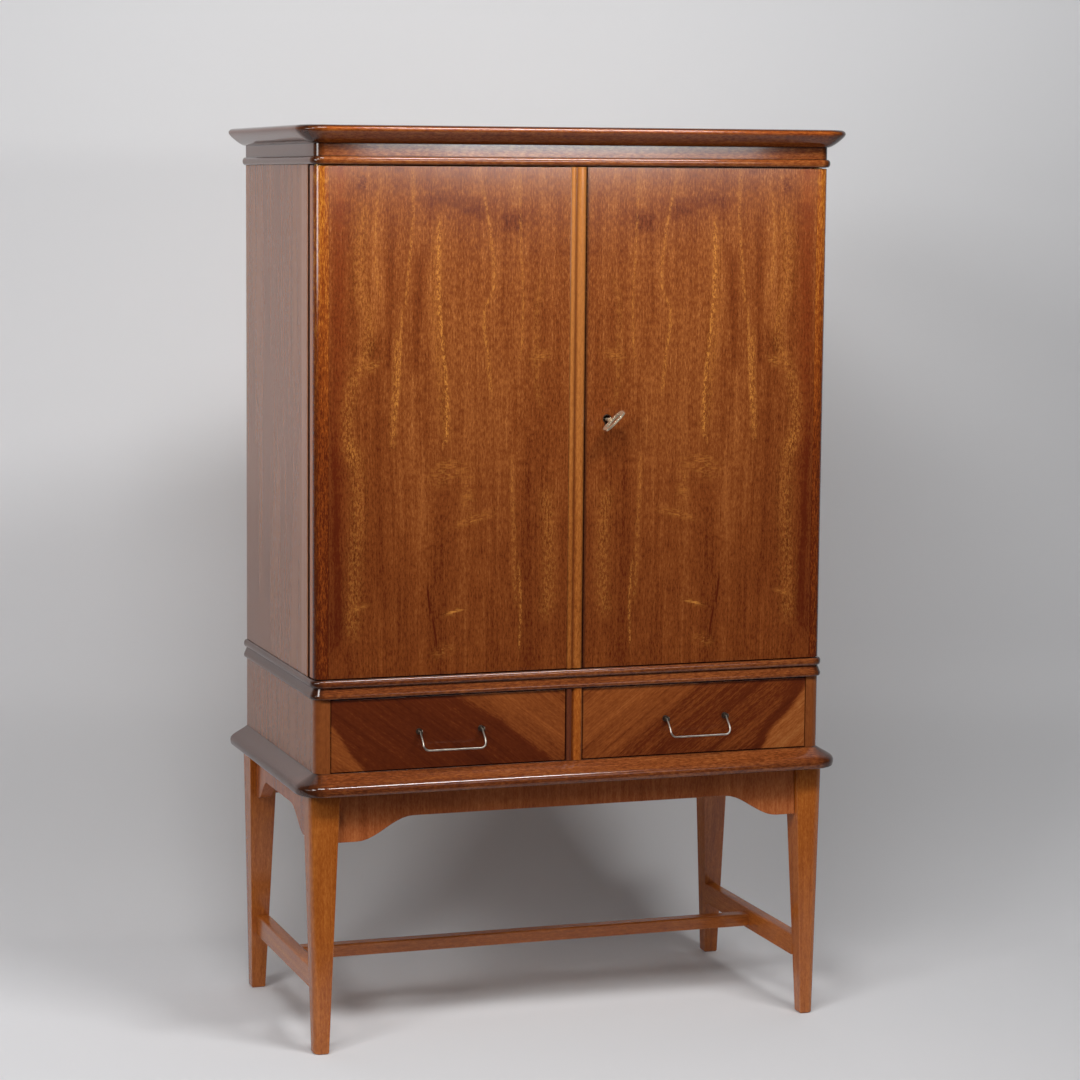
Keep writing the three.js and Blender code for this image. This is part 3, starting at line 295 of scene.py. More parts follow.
# How fast each layer changes per mm across the grain, along it and into the wood
WANDER_RATE = (0.004, 0.0016, 0.004)
BAND_RATE = (0.028, 0.0016, 0.03)
MOTTLE_RATE = (0.06, 0.03, 0.05)
FINE_RATE = (0.44, 0.11, 0.4)

# Where the dark, middle, light and fleck colours stand on the scale of tone
TONE_STOPS = (0.12, 0.45, 0.72, 1.0)
VARNISH_IOR = 1.5


def wood_layers(net, along, across, depth, seed, grain):
    """The tone of the wood about 0.5, how much fleck there is, and the height for the bump."""
    def layer(rate, a, **settings):
        return net.noise(a * rate[0] + seed, along * rate[1], depth * rate[2], **settings)

    a = across + layer(WANDER_RATE, across, detail=1.0) * grain.wander
    bands = layer(BAND_RATE, a, detail=2.0, rough=0.6)
    streaks = net.noise(a * 0.2, along * 0.005 + seed, depth * 0.15, detail=4.0, rough=0.7)
    mottle = layer(MOTTLE_RATE, a, detail=2.0, rough=0.65)
    fine = layer(FINE_RATE, a, detail=3.0, rough=0.75)
    fleck = net.above(fine, 0.1, 0.14)
    dark = net.above(fine, -0.1, 0.15)
    tone = 0.5 + bands * grain.bands + streaks * grain.streaks + mottle * grain.mottle
    tone = tone - (1.0 - dark) * grain.darks
    return tone, fleck * grain.flecks, fine


def finish_wood(net, layers, tones, grain, roughness=0.2, extra=None, worn=None):
    """Colour, gloss and relief from the layers. tones are the dark, middle, light and fleck colours.
    worn is (radius in mm, strength, colour) of the arrises."""
    tone, fleck, height = layers
    colour = net.ramp(tone + fleck, list(zip(TONE_STOPS, tones)))
    if extra is not None:
        colour = extra(colour)
    if worn is not None:
        radius, strength, worn_colour = worn
        colour = net.mix(net.worn_edge(radius * MM) * strength, colour, worn_colour)
    rough = net.clamp(roughness - height * 0.04)
    normal = net.bump(height, grain.relief * MM) if grain.relief > 0 else None
    return net.surface(colour, rough, normal, IOR=VARNISH_IOR)


DOOR_TONES = (linear(84, 30, 10), linear(126, 64, 26), linear(160, 94, 44), linear(206, 146, 84))
STRIP_TONES = (linear(96, 40, 12), linear(146, 80, 30), linear(174, 104, 46), linear(210, 150, 84))
STAND_TONES = (linear(112, 46, 12), linear(160, 84, 28), linear(188, 110, 44), linear(216, 150, 78))
# The apron's tones are lighter than the other mouldings': painted light that makes up for the shade under
# the base moulding
APRON_LIT_TONES = (linear(102, 44, 20), linear(156, 82, 42), linear(184, 108, 60), linear(214, 146, 90))
MOULDING_TONES = (linear(60, 24, 12), linear(104, 50, 22), linear(142, 78, 36), linear(178, 116, 66))
# The cornice's tones are lighter and more orange than the moulding tones: painted light from below and in
# front
CORNICE_LIT_TONES = (linear(92, 36, 10), linear(142, 68, 22), linear(172, 96, 36), linear(202, 134, 66))
SIDE_TONES = (linear(104, 56, 28), linear(132, 76, 40), linear(152, 94, 54), linear(178, 120, 78))
DRAWER_TONES = (linear(62, 20, 8), linear(96, 40, 16), linear(146, 78, 34), linear(184, 118, 62))
INNER_TONES = (linear(142, 98, 58), linear(178, 132, 84), linear(202, 160, 110), linear(222, 186, 140))

# Colours of painted shade, of painted light and of narrow parts. The lists hold (tone, colour) stops.
SEAM_SHADE = linear(26, 11, 7)
CORNER_SHADE = linear(36, 16, 9)
SIDE_SHADE = linear(50, 34, 28)
RIM_SHADE = linear(34, 15, 8)
HOLLOW_SHADE = linear(50, 22, 12)
GROOVE_SHADE = linear(92, 36, 12)
BEAD_SHADE = linear(80, 40, 32)
UPPER_PAINTED_LIGHT = linear(206, 136, 70)
STRIP_EDGE_SHADE = linear(30, 9, 8)
GOLD = linear(206, 134, 58)
RED_LOW = linear(88, 26, 8)
RED_HIGH = linear(150, 62, 26)
LIPPING_TONES = [(0.1, linear(84, 30, 10)), (0.5, linear(142, 68, 22)), (0.9, linear(204, 130, 48))]
LIPPING_TURNED_SHADE = linear(70, 32, 12)
LIPPING_JOINT = linear(60, 26, 14)
MEETING_SHADE = linear(44, 20, 12)
STAINED_TONES = [(0.2, linear(132, 64, 26)), (0.8, linear(184, 106, 50))]
BACK_CORNER_SHADE = linear(34, 15, 9)
SIDE_RIM_TONES = [(0.2, linear(134, 80, 54)), (0.8, linear(172, 118, 86))]
FAR_SIDE_SHADE = linear(70, 38, 28)
REBATE_SHADE = linear(30, 13, 8)
POST_TONES = [(0.2, linear(100, 44, 18)), (0.8, linear(160, 92, 44))]

PROFILE_GRAIN = Grain(flecks=0.22, darks=0.26, relief=0.0)


def front_depth(net):
    """Distance behind the front plane, in mm."""
    return net.y - FRONT_Y


def straight_wood(name, direction, tones, seed, grain, roughness=0.2, worn=None):
    """A piece of solid wood or veneer with its grain along x, y or z."""
    net = Net(name)
    turn = {"x": (net.x, net.z, net.y), "y": (net.y, net.z, net.x), "z": (net.z, net.x, net.y)}
    along, across, depth = turn[direction]
    layers = wood_layers(net, along, across + depth * 0.35, depth, seed, grain)
    return finish_wood(net, layers, tones, grain, roughness, worn=worn)


def moulding_wood(name, seed, tones, seams, roughness=0.11, worn=None, rim=None):
    """Wood along the front and the sides, mitred, with painted shade on the side runs, at the rounded
    corners and in the seams.
    rim is the height above which painted shade darkens the top arris. Painted shade darkens the hollow under
    it a little too."""
    net = Net(name)

    # 0 on the front run and 1 on the side runs, which meet it in a mitre
    side = net.above(net.absolute(net.x) - HALF_WIDTH + front_depth(net), 0.0, 0.3)
    along = net.either(side, net.x, net.y + seed * 100.0)
    across = net.either(side, net.y, net.x)
    layers = wood_layers(net, along, net.z + across * 0.6, across, seed, PROFILE_GRAIN)

    # How far a point stands out past the centre of the corner's rounding, to each side, in decimetres
    out_x = net.clamp((net.absolute(net.x) - HALF_WIDTH + CORNER_RADIUS) * 0.01)
    out_y = net.clamp((CORNER_RADIUS - front_depth(net)) * 0.01)
    corner = net.clamp(out_x * out_y * 2.0 / (out_x * out_x + out_y * out_y + 0.0001))

    def dress_up(colour):
        # Painted shade on the side runs, and on the rounded corners where they turn
        colour = net.mix(side * 0.6, colour, SIDE_SHADE)
        colour = net.mix(corner * 0.75, colour, CORNER_SHADE)
        if rim is not None:
            # Painted shade on the top arris, and a little in the hollow under it
            colour = net.mix(net.above(net.z, rim, 1.2) * 0.75, colour, RIM_SHADE)
            colour = net.mix((1.0 - net.above(net.z, rim - 18.0, 5.0)) * 0.3, colour, HOLLOW_SHADE)
        for seam in seams:
            # Painted shade: dark lines in the seams between the members
            colour = net.mix(net.bell(net.z, seam, 1.0) * 0.75, colour, SEAM_SHADE)
        return colour

    return finish_wood(net, layers, tones, PROFILE_GRAIN, roughness, extra=dress_up, worn=worn)


def upright_material(name, left, right, tones, seed, bead_shade_share, top_light):
    """An upright with a bead at the left, a groove and a band. Painted shade darkens the bead, the groove
    and both edges, and painted light lightens its upper end by the last argument's share.
    """
    net = Net(name)
    y = front_depth(net)
    width = right - left
    layers = wood_layers(net, net.z, net.x + y * 0.35, y, seed, PROFILE_GRAIN)

    def dress_up(colour):
        bead = 1.0 - net.above(net.x, left + width * 0.33, 0.8)
        # Painted shade on the bead
        colour = net.mix(bead * bead_shade_share, colour, BEAD_SHADE)
        # Painted light on the upper end
        colour = net.mix(net.above(net.z, 1050.0, 400.0) * top_light, colour, UPPER_PAINTED_LIGHT)
        colour = net.mix(net.bell(net.x, left + width * 0.38, 2.4) * 0.75, colour, GROOVE_SHADE)
        # Painted shade along both edges, in the gaps beside the upright
        edges = net.bell(net.x, left, 1.3) * 0.6 + net.bell(net.x, right, 2.2) * 0.9
        return net.mix(net.clamp(edges), colour, STRIP_EDGE_SHADE)

    return finish_wood(net, layers, tones, PROFILE_GRAIN, 0.12, extra=dress_up)


# Veneer of the doors: two sheets opened like a book about the meeting edge.
# Each line is (points of (z, u), half width, strength), with u the distance from the middle in mm.
GOLD_LINES = [
    ([(1374, 272), (1308, 272), (1225, 277), (1170, 281)], 2.4, 0.42),
    ([(1300, 229), (1225, 230), (1141, 225), (1077, 219), (987, 213), (956, 220)], 2.8, 0.5),
    ([(1290, 232), (1150, 232), (1040, 222), (960, 214)], 9.0, 0.2),
    ([(1356, 161), (1328, 155), (1272, 145), (1197, 139), (1155, 155), (1096, 150), (1028, 143)], 2.8, 0.42),
    ([(1378, 97), (1252, 95), (1196, 91), (1084, 98)], 2.2, 0.34),
    ([(1123, 295), (955, 300)], 5.0, 0.4),
    ([(1160, 287), (1090, 290), (1000, 295)], 2.0, 0.4),
    ([(1322, 347), (1198, 355), (1143, 340), (1071, 356), (990, 372), (930, 366)], 11.0, 0.26),
    ([(960, 368), (855, 358), (785, 362), (704, 366), (658, 368)], 13.0, 0.22),
    ([(1340, 326), (1250, 330), (1180, 318)], 3.0, 0.3),
    ([(760, 96), (690, 92), (625, 95)], 2.2, 0.4),
    ([(880, 52), (760, 46), (680, 50)], 12.0, 0.22),
    ([(1210, 60), (1100, 70), (1010, 58)], 6.0, 0.16),
    ([(930, 108), (800, 104), (700, 100)], 4.0, 0.2),
]
DARK_LINES = [
    ([(1314, 304), (1177, 306), (1068, 310)], 5.0, 0.16),
    ([(1250, 262), (1177, 262), (1068, 266)], 9.0, 0.18),
    ([(1330, 384), (1240, 388), (1100, 392), (900, 394), (640, 394)], 11.0, 0.2),
    ([(1080, 330), (1020, 326), (900, 322), (700, 318)], 12.0, 0.12),
    ([(733, 245), (712, 242), (695, 240)], 1.3, 0.5),
    ([(681, 235), (660, 231), (640, 228)], 1.3, 0.5),
]
# Patches of short curly figure: (u, z, half width, half height, strength)
PATCHES = [
    (335, 1078, 12, 8, 0.6), (214, 912, 24, 18, 0.5), (170, 836, 30, 6, 0.6),
    (201, 692, 15, 4, 0.9), (354, 704, 14, 5, 0.4), (218, 631, 16, 9, 0.45),
    (180, 880, 10, 34, 0.35), (60, 1090, 18, 8, 0.5),
]
# Dark smoky patches, in the same terms
BLOTCHES = [
    (168, 1316, 22, 15, 0.26), (106, 1300, 20, 16, 0.3),
    (330, 1105, 16, 22, 0.26), (222, 1330, 26, 12, 0.16),
]
# A small knot
KNOT_U, KNOT_Z = 350, 1355
# The doors are painted lighter from here up, as light from above, and more flecked, with this softness
UPPER_Z, UPPER_SOFT = 1000.0, 400.0


def line_strength(net, u, z, lines):
    """The sum of the lines, each fading out past its ends."""
    fade = 18.0
    total = None
    for points, width, strength in lines:
        centre = net.curve(z, points)
        low = min(p[0] for p in points)
        high = max(p[0] for p in points)
        inside = net.above(z, low, fade) * (1.0 - net.above(z, high, fade))
        part = net.bell(u, centre, width) * inside * strength
        total = part if total is None else total + part
    return total


def door_figure(net, u, z, curl):
    """Gold from the veins and the patches of curly figure."""
    wander = net.noise(u * 0.006 + 3.1, z * 0.0035, 2.0, detail=2.0)
    shifted = u + wander * 12.0
    speckle = net.noise(u * 0.36, z * 0.13, 7.0, detail=2.0, rough=0.75)
    specks = net.above(speckle, 0.03, 0.06)
    gold = line_strength(net, shifted, z, GOLD_LINES) * (0.12 + specks * 1.35)
    for pu, pz, wide, tall, strength in PATCHES:
        spot = net.bell(u, pu, wide) * net.bell(z + (u - pu) * 0.25, pz, tall)
        gold = gold + spot * net.clamp(curl * 4.0 + 0.3) * strength
    return shifted, net.clamp(gold)


def door_lipping(net, u, z):
    """The solid edge of a door: painted light makes it golden at the top and redder and darker low down, and
    painted shade darkens it where it turns back.
    """
    grain = Grain(flecks=0.34, darks=0.34)
    tone, fleck, _ = wood_layers(net, z, u * 1.3, 1.0, 21.7, grain)
    # Painted light: golden at the top, darker low down
    level = tone + fleck + net.above(z, 1080.0, 330.0) * 0.42 - 0.3
    turned = net.above(u, LIPPING_TURN, 4.0)
    # Painted shade where the edge turns back
    return net.mix(turned * 0.55, net.ramp(level, LIPPING_TONES), LIPPING_TURNED_SHADE)


def door_material():
    """Book-matched veneer inside a solid lipping."""
    net = Net("door_veneer_book")
    u = net.absolute(net.x)
    z = net.z
    grain = Grain(bands=0.55, streaks=0.55, flecks=0.3, darks=0.26, mottle=0.26, wander=34.0)
    curl = net.noise(u * 0.09, z * 0.22, 4.0, detail=3.0, distortion=1.2)
    shifted, gold = door_figure(net, u, z, curl)
    tone, fleck, height = wood_layers(net, z, shifted, front_depth(net) * 0.2, 5.3, grain)
    tone = tone - line_strength(net, shifted, z, DARK_LINES) * (1.0 + height)
    for pu, pz, wide, tall, strength in BLOTCHES:
        spot = net.bell(u + curl * 26.0, pu, wide) * net.bell(z + curl * 20.0, pz, tall)
        tone = tone - spot * strength
    knot = net.bell(u + curl * 26.0, KNOT_U, 4.0) * net.bell(z, KNOT_Z, 11.0)
    upper = net.above(z, UPPER_Z, UPPER_SOFT)
    # Painted light: lighter towards the top
    tone = tone - knot * 0.35 - 0.13 + upper * 0.15
    fleck = fleck * (0.4 + upper * 0.6)
    red = net.bell(u, RED_BAND_U, 14.0) * net.clamp(0.6 + curl * 2.0)

    def dress_up(colour):
        # The red band, with painted light making it lighter up high
        colour = net.mix(red * 0.34, colour, net.mix(upper, RED_LOW, RED_HIGH))
        colour = net.mix(gold, colour, GOLD)
        colour = net.mix(net.above(u, LIPPING_INNER, 0.5), colour, door_lipping(net, u, z))
        joint = net.bell(u, LIPPING_INNER, 0.5)
        colour = net.mix(joint * 0.5, colour, LIPPING_JOINT)
        meeting = net.bell(net.x, STRIP_RIGHT + 2.5, 2.2)
        return net.mix(meeting * 0.7, colour, MEETING_SHADE)

    return finish_wood(net, (tone, fleck, height), DOOR_TONES, grain, 0.1, extra=dress_up)


def frame_material():
    """Pale wood on the inside of the doors, stained on the outer edge that shows with the doors shut, with
    painted shade at the back of that edge.
    """
    net = Net("inner_wood_stained_edge")
    y = front_depth(net)
    u = net.absolute(net.x)
    grain = Grain(bands=0.25, streaks=0.25, flecks=0.14, darks=0.12)
    tone, fleck, height = wood_layers(net, net.z, net.x + y * 0.35, y, 29.0, grain)

    def dress_up(colour):
        stained = net.ramp(tone + fleck, STAINED_TONES)
        colour = net.mix(net.above(u, STAIN_FROM_U, 0.4), colour, stained)
        # Painted shade at the back of the outer edge, in the gap beside the case side
        back_corner_shade = net.above(u, BACK_CORNER_U, 1.0) * net.above(y, BACK_CORNER_Y, 1.5)
        return net.mix(back_corner_shade, colour, BACK_CORNER_SHADE)

    return finish_wood(net, (tone, fleck, height), INNER_TONES, grain, 0.3, extra=dress_up)


def drawer_material():
    """Slanted veneer, dark in the middle and light at the lower outer and the upper inner corner."""
    net = Net("drawer_veneer_slanted")
    u = net.absolute(net.x)
    z = net.z
    on_right = net.above(net.x, 0.0, 1.0)
    slope = math.radians(38)
    along = u * math.cos(slope) + z * math.sin(slope)
    across = z * math.cos(slope) - u * math.sin(slope)
    grain = Grain(bands=0.35, streaks=0.5, flecks=0.1, darks=0.08, mottle=0.1, wander=30.0)
    tone, fleck, height = wood_layers(net, along, across, on_right * 3.0, 12.4, grain)
    wave = net.noise(u * 0.014, z * 0.014, on_right * 5.0, detail=2.0) * 34.0

    # The light corners are bounded by slanted lines, each through one point (u, z)
    outer_u, outer_z, line_z = 350.0, 452.0, 470.0
    inner_u, inner_z = 44.0, 455.0
    reach = u + on_right * 22.0
    outer = net.above((reach - outer_u) * 1.4 + outer_z - z + wave, 0.0, 9.0)
    inner = net.above(z - inner_z - (u - inner_u) * 0.68 + on_right * 14.0 + wave, 0.0, 12.0)
    edge_line = net.bell((reach - outer_u) * 1.4 + line_z - z + wave, 0.0, 16.0) * on_right
    tone = tone - 0.12 + on_right * 0.12 - edge_line * 0.14
    tone = tone + outer * 0.26 + inner * (0.24 - on_right * 0.08)
    return finish_wood(net, (tone, fleck, height), DRAWER_TONES, grain, 0.12)


def side_material():
    """Veneer on the flat of a side, with solid wood at its front edge, painted shade towards the back low
    down, and painted shade in the rebate.
    """
    net = Net("side_veneer_lipped")
    y = front_depth(net)
    grain = Grain(bands=0.7, streaks=0.4, flecks=0.08, darks=0.05, mottle=0.12, relief=0.006)
    layers = wood_layers(net, net.z, y + net.x * 0.3, net.x * 0.2, 8.9, grain)

    def dress_up(colour):
        lipping = 1.0 - net.above(y, SIDE_LIPPING_Y, 0.6)
        rim_tone, rim_fleck, _ = wood_layers(net, net.z, y * 2.0, 1.0, 31.0, Grain(flecks=0.15))
        colour = net.mix(lipping, colour, net.ramp(rim_tone + rim_fleck, SIDE_RIM_TONES))
        # Painted shade: darker towards the back and low down
        away = net.above(y, 330.0, 240.0) * (1.0 - net.above(net.z, 900.0, 400.0))
        colour = net.mix(away * 0.4, colour, FAR_SIDE_SHADE)
        u = net.absolute(net.x)
        rebate = (1.0 - net.above(u, REBATE_OUTER_U, 0.5)) * (1.0 - net.above(y, REBATE_Y, 1.2))
        rebate = rebate * net.above(u, REBATE_INNER_U, 2.0)
        return net.mix(rebate, colour, REBATE_SHADE)

    return finish_wood(net, layers, SIDE_TONES, grain, 0.2, extra=dress_up)


def post_material():
    """Lower sides: a solid post at the front corner and veneer behind it."""
    net = Net("side_veneer_posted")
    y = front_depth(net)
    grain = Grain(bands=0.3, streaks=0.35, flecks=0.1, darks=0.1, mottle=0.06, relief=0.01)
    tone, fleck, height = wood_layers(net, net.z, y + net.x, net.x * 0.2, 17.2, grain)

    def dress_up(colour):
        post = 1.0 - net.above(y, POST_Y, 0.8)
        return net.mix(post, colour, net.ramp(tone + fleck, POST_TONES))

    return finish_wood(net, (tone, fleck, height), SIDE_TONES, grain, 0.2, extra=dress_up)


# Metals
def metal_material(name, bright, dull, roughness, tarnish, metallic=1.0):
    """Metal with duller clouds on it. tarnish from 0 to 1 says how much of it they cover."""
    net = Net(name)
    cloud = net.noise(net.x * 0.12, net.y * 0.12, net.z * 0.12, detail=4.0, rough=0.65)
    stain = net.clamp(cloud * 2.0 + tarnish)
    colour = net.mix(stain, bright, dull)
    rough = net.clamp(roughness + stain * 0.15)
    return net.surface(colour, rough, Metallic=metallic)


# Modelling helpers
def edge_smoothing():
    """A modifier group: smooth faces, with the sharp edges left sharp."""
    group = bpy.data.node_groups.new("smooth_by_edge_angle", "GeometryNodeTree")
    group.interface.new_socket("Geometry", in_out="INPUT", socket_type="NodeSocketGeometry")
    group.interface.new_socket("Geometry", in_out="OUTPUT", socket_type="NodeSocketGeometry")
    enter = group.nodes.new("NodeGroupInput")
    leave = group.nodes.new("NodeGroupOutput")
    faces = group.nodes.new("GeometryNodeSetShadeSmooth")
    faces.domain = "FACE"
    edges = group.nodes.new("GeometryNodeSetShadeSmooth")
    edges.domain = "EDGE"
    edges.inputs["Shade Smooth"].default_value = False
    angle = group.nodes.new("GeometryNodeInputMeshEdgeAngle")
    wide = group.nodes.new("FunctionNodeCompare")
    wide.data_type = "FLOAT"
    wide.operation = "GREATER_THAN"
    wide.inputs[1].default_value = SHARP
    group.links.new(enter.outputs[0], faces.inputs["Geometry"])
    group.links.new(faces.outputs[0], edges.inputs["Geometry"])
    group.links.new(angle.outputs[0], wide.inputs[0])
    group.links.new(wide.outputs[0], edges.inputs["Selection"])
    group.links.new(edges.outputs[0], leave.inputs[0])
    return group


SMOOTHING = edge_smoothing()


def ease_edges(name, width, material, segments=2):
    """Rounds the arrises of a CAD node with modifiers, which leave its own vertices alone."""
    obj = nodes[name]
    obj.data.materials.clear()
    obj.data.materials.append(material)
    weld = obj.modifiers.new("weld", "WELD")
    weld.merge_threshold = 0.01 * MM
    flat = obj.modifiers.new("flat", "DECIMATE")
    flat.decimate_type = "DISSOLVE"
    flat.angle_limit = math.radians(0.6)
    if width > 0:
        bevel = obj.modifiers.new("arris", "BEVEL")
        bevel.width = width * MM
        bevel.segments = segments
        bevel.limit_method = "ANGLE"
        bevel.angle_limit = SHARP
    smooth = obj.modifiers.new("smooth", "NODES")
    smooth.node_group = SMOOTHING
    weighted = obj.modifiers.new("weighted", "WEIGHTED_NORMAL")
    weighted.mode = "FACE_AREA"
    weighted.weight = 80
    weighted.keep_sharp = True


def new_piece(name, mesh, material, body, replaced):
    """A piece made here, which takes the place of a CAD node."""
    obj = bpy.data.objects.new(name, mesh)
    bpy.context.scene.collection.objects.link(obj)
    mesh.materials.append(material)
    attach(obj, body)
    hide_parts(replaced)


def mesh_of(build):
    """Runs build(bm) and returns a clean mesh with smooth faces and sharp edges by angle."""
    bm = bmesh.new()
    build(bm)
    bmesh.ops.remove_doubles(bm, verts=bm.verts, dist=0.002 * MM)
    bmesh.ops.recalc_face_normals(bm, faces=bm.faces)
    mesh = bpy.data.meshes.new("piece")
    bm.to_mesh(mesh)
    bm.free()
    mesh.shade_smooth()
    mesh.set_sharp_from_angle(angle=SHARP)
    return mesh


def smooth_profile(points):
    """More points on a smooth line through the given (reach, z) points."""
    steps = 4
    out = []
    last = len(points) - 1
    for i in range(last):
        p0 = Vector(points[max(i - 1, 0)])
        p1 = Vector(points[i])
        p2 = Vector(points[i + 1])
        p3 = Vector(points[min(i + 2, last)])
        for k in range(steps):
            t = k / steps
            a = p1 * 2.0
            b = (p2 - p0) * t
            c = (p0 * 2.0 - p1 * 5.0 + p2 * 4.0 - p3) * t * t
            d = (p1 * 3.0 - p0 - p2 * 3.0 + p3) * t * t * t
            out.append(tuple((a + b + c + d) * 0.5))
    out.append(tuple(points[last]))
    return out


def case_path():
    """The plan of the case from the back left to the back right, as (x, y, outward x, outward y) in mm."""
    corner_steps = 14
    centre_x = HALF_WIDTH - CORNER_RADIUS
    left = [(-HALF_WIDTH, y, -1.0, 0.0) for y in (CASE_DEPTH, CASE_DEPTH / 2, 60.0)]
    for i in range(corner_steps + 1):
        angle = math.radians(180.0 + 90.0 * i / corner_steps)
        nx, ny = math.cos(angle), math.sin(angle)
        left.append((-centre_x + CORNER_RADIUS * nx, CORNER_RADIUS + CORNER_RADIUS * ny, nx, ny))
    left.append((-200.0, 0.0, 0.0, -1.0))
    right = [(-x, y, -nx, ny) for x, y, nx, ny in reversed(left)]
    return left + right


def moulding_mesh(profile, inner):
    """A moulding along the case's plan: a board where inner is None, otherwise a frame open at the back.
    inner is then the (half width, front y) of the frame's opening."""
    path = case_path()

    def build(bm):
        rings = []
        for x, y, nx, ny in path:
            ring = []
            for reach, z in profile:
                out_x = x + nx * reach
                out_y = y + ny * reach + FRONT_Y
                ring.append(bm.verts.new((out_x * MM, out_y * MM, z * MM)))
            rings.append(ring)
        low, high = profile[0][1], profile[-1][1]
        if inner is None:
            for a, b in zip(rings, rings[1:]):
                for k in range(len(profile) - 1):
                    bm.faces.new((a[k], a[k + 1], b[k + 1], b[k]))
            bm.faces.new([ring[0] for ring in rings])
            bm.faces.new([ring[-1] for ring in rings])
            bm.faces.new(list(rings[0]) + list(reversed(rings[-1])))
            return
        half, front = inner
        full = []
        for (x, y, nx, ny), ring in zip(path, rings):
            ix = max(-half, min(half, x))
            iy = max(front, y)
            top = bm.verts.new((ix * MM, (iy + FRONT_Y) * MM, high * MM))
            bottom = bm.verts.new((ix * MM, (iy + FRONT_Y) * MM, low * MM))
            full.append(ring + [top, bottom])
        count = len(full[0])
        for a, b in zip(full, full[1:]):
            for k in range(count):
                quad = [a[k], a[(k + 1) % count], b[(k + 1) % count], b[k]]
                places = {tuple(round(c, 7) for c in v.co) for v in quad}
                if len(places) >= 3:
                    bm.faces.new(quad)
        bm.faces.new(full[0])
        bm.faces.new(full[-1])

    return mesh_of(build)


def rod_mesh(runs, sides=16):
    """Round rods through points in metres, each run a list of points and a radius, with flat ends."""
    # The sections are laid out from a direction that no rod runs in
    askew = Vector((0.0, 1.0, 0.15))

    def build(bm):
        for points, radius in runs:
            rings = []
            for i, point in enumerate(points):
                before, after = points[max(i - 1, 0)], points[min(i + 1, len(points) - 1)]
                tangent = (after - before).normalized()
                side = tangent.cross(askew).normalized()
                up = side.cross(tangent).normalized()
                ring = []
                for k in range(sides):
                    angle = 2.0 * math.pi * k / sides
                    around = side * math.cos(angle) + up * math.sin(angle)
                    ring.append(bm.verts.new(point + around * radius))
                rings.append(ring)
            for a, b in zip(rings, rings[1:]):
                for k in range(sides):
                    bm.faces.new((a[k], a[(k + 1) % sides], b[(k + 1) % sides], b[k]))
            bm.faces.new(rings[0])
            bm.faces.new(rings[-1])

    return mesh_of(build)


# Finishes. Worn arrises are (radius in mm, strength, colour).
worn_stand = (2.2, 0.5, linear(186, 128, 80))
worn_dark = (1.6, 0.3, linear(150, 96, 62))
door_finish = door_material()
drawer_finish = drawer_material()
side_finish = side_material()
post_finish = post_material()
frame_finish = frame_material()
stand_grain = Grain(bands=0.4, streaks=0.55, flecks=0.16, darks=0.16)
low_seams = (BASE_TOP, WAIST_BOTTOM, WAIST_MIDDLE, WAIST_TOP)
high_seams = (FRIEZE_BOTTOM, BEAD_TOP, CORNICE_BOTTOM)
moulding_finish = moulding_wood(
    "moulding_wood_mitred", 4.6, MOULDING_TONES, low_seams, worn=worn_dark)
cornice_finish = moulding_wood(
    "cornice_wood_mitred", 5.2, CORNICE_LIT_TONES, high_seams, rim=TOTAL_HEIGHT - 3.0)
frieze_finish = moulding_wood("frieze_wood_mitred", 9.3, DOOR_TONES, high_seams, 0.1)
strip_finish = upright_material("strip_wood", STRIP_LEFT, STRIP_RIGHT, STRIP_TONES, 6.1, 0.0, 0.55)
divider_finish = upright_material("divider_wood", -STILE_HALF, STILE_HALF, STAND_TONES, 13.5, 0.8, 0.0)
leg_finish = straight_wood("stand_wood_upright", "z", STAND_TONES, 2.2, stand_grain, worn=worn_stand)
apron_finish = straight_wood("apron_wood_upright", "z", APRON_LIT_TONES, 7.7, stand_grain, worn=worn_dark)
rail_x_finish = straight_wood("stand_wood_crosswise", "x", STAND_TONES, 3.4, stand_grain, worn=worn_stand)
rail_y_finish = straight_wood("stand_wood_lengthwise", "y", STAND_TONES, 15.8, stand_grain, worn=worn_stand)
inner_grain = Grain(bands=0.25, streaks=0.25, flecks=0.14, darks=0.12)
inner_x_finish = straight_wood("inner_wood_crosswise", "x", INNER_TONES, 23.0, inner_grain, 0.4)
inner_y_finish = straight_wood("inner_wood_lengthwise", "y", INNER_TONES, 26.0, inner_grain, 0.4)
inner_z_finish = straight_wood("inner_wood_upright", "z", INNER_TONES, 29.0, inner_grain, 0.4)
nickel_finish = metal_material("nickel_worn", linear(170, 162, 150), linear(112, 102, 92), 0.34, 0.2)
key_finish = metal_material("nickel_handled", linear(226, 206, 176), linear(160, 142, 116), 0.2, 0.1, 0.72)
dark_nickel_finish = metal_material("nickel_dark", linear(112, 98, 82), linear(52, 44, 38), 0.34, 0.6, 0.8)
brass_finish = metal_material("brass_satin", linear(196, 158, 96), linear(120, 88, 50), 0.3, 0.25)

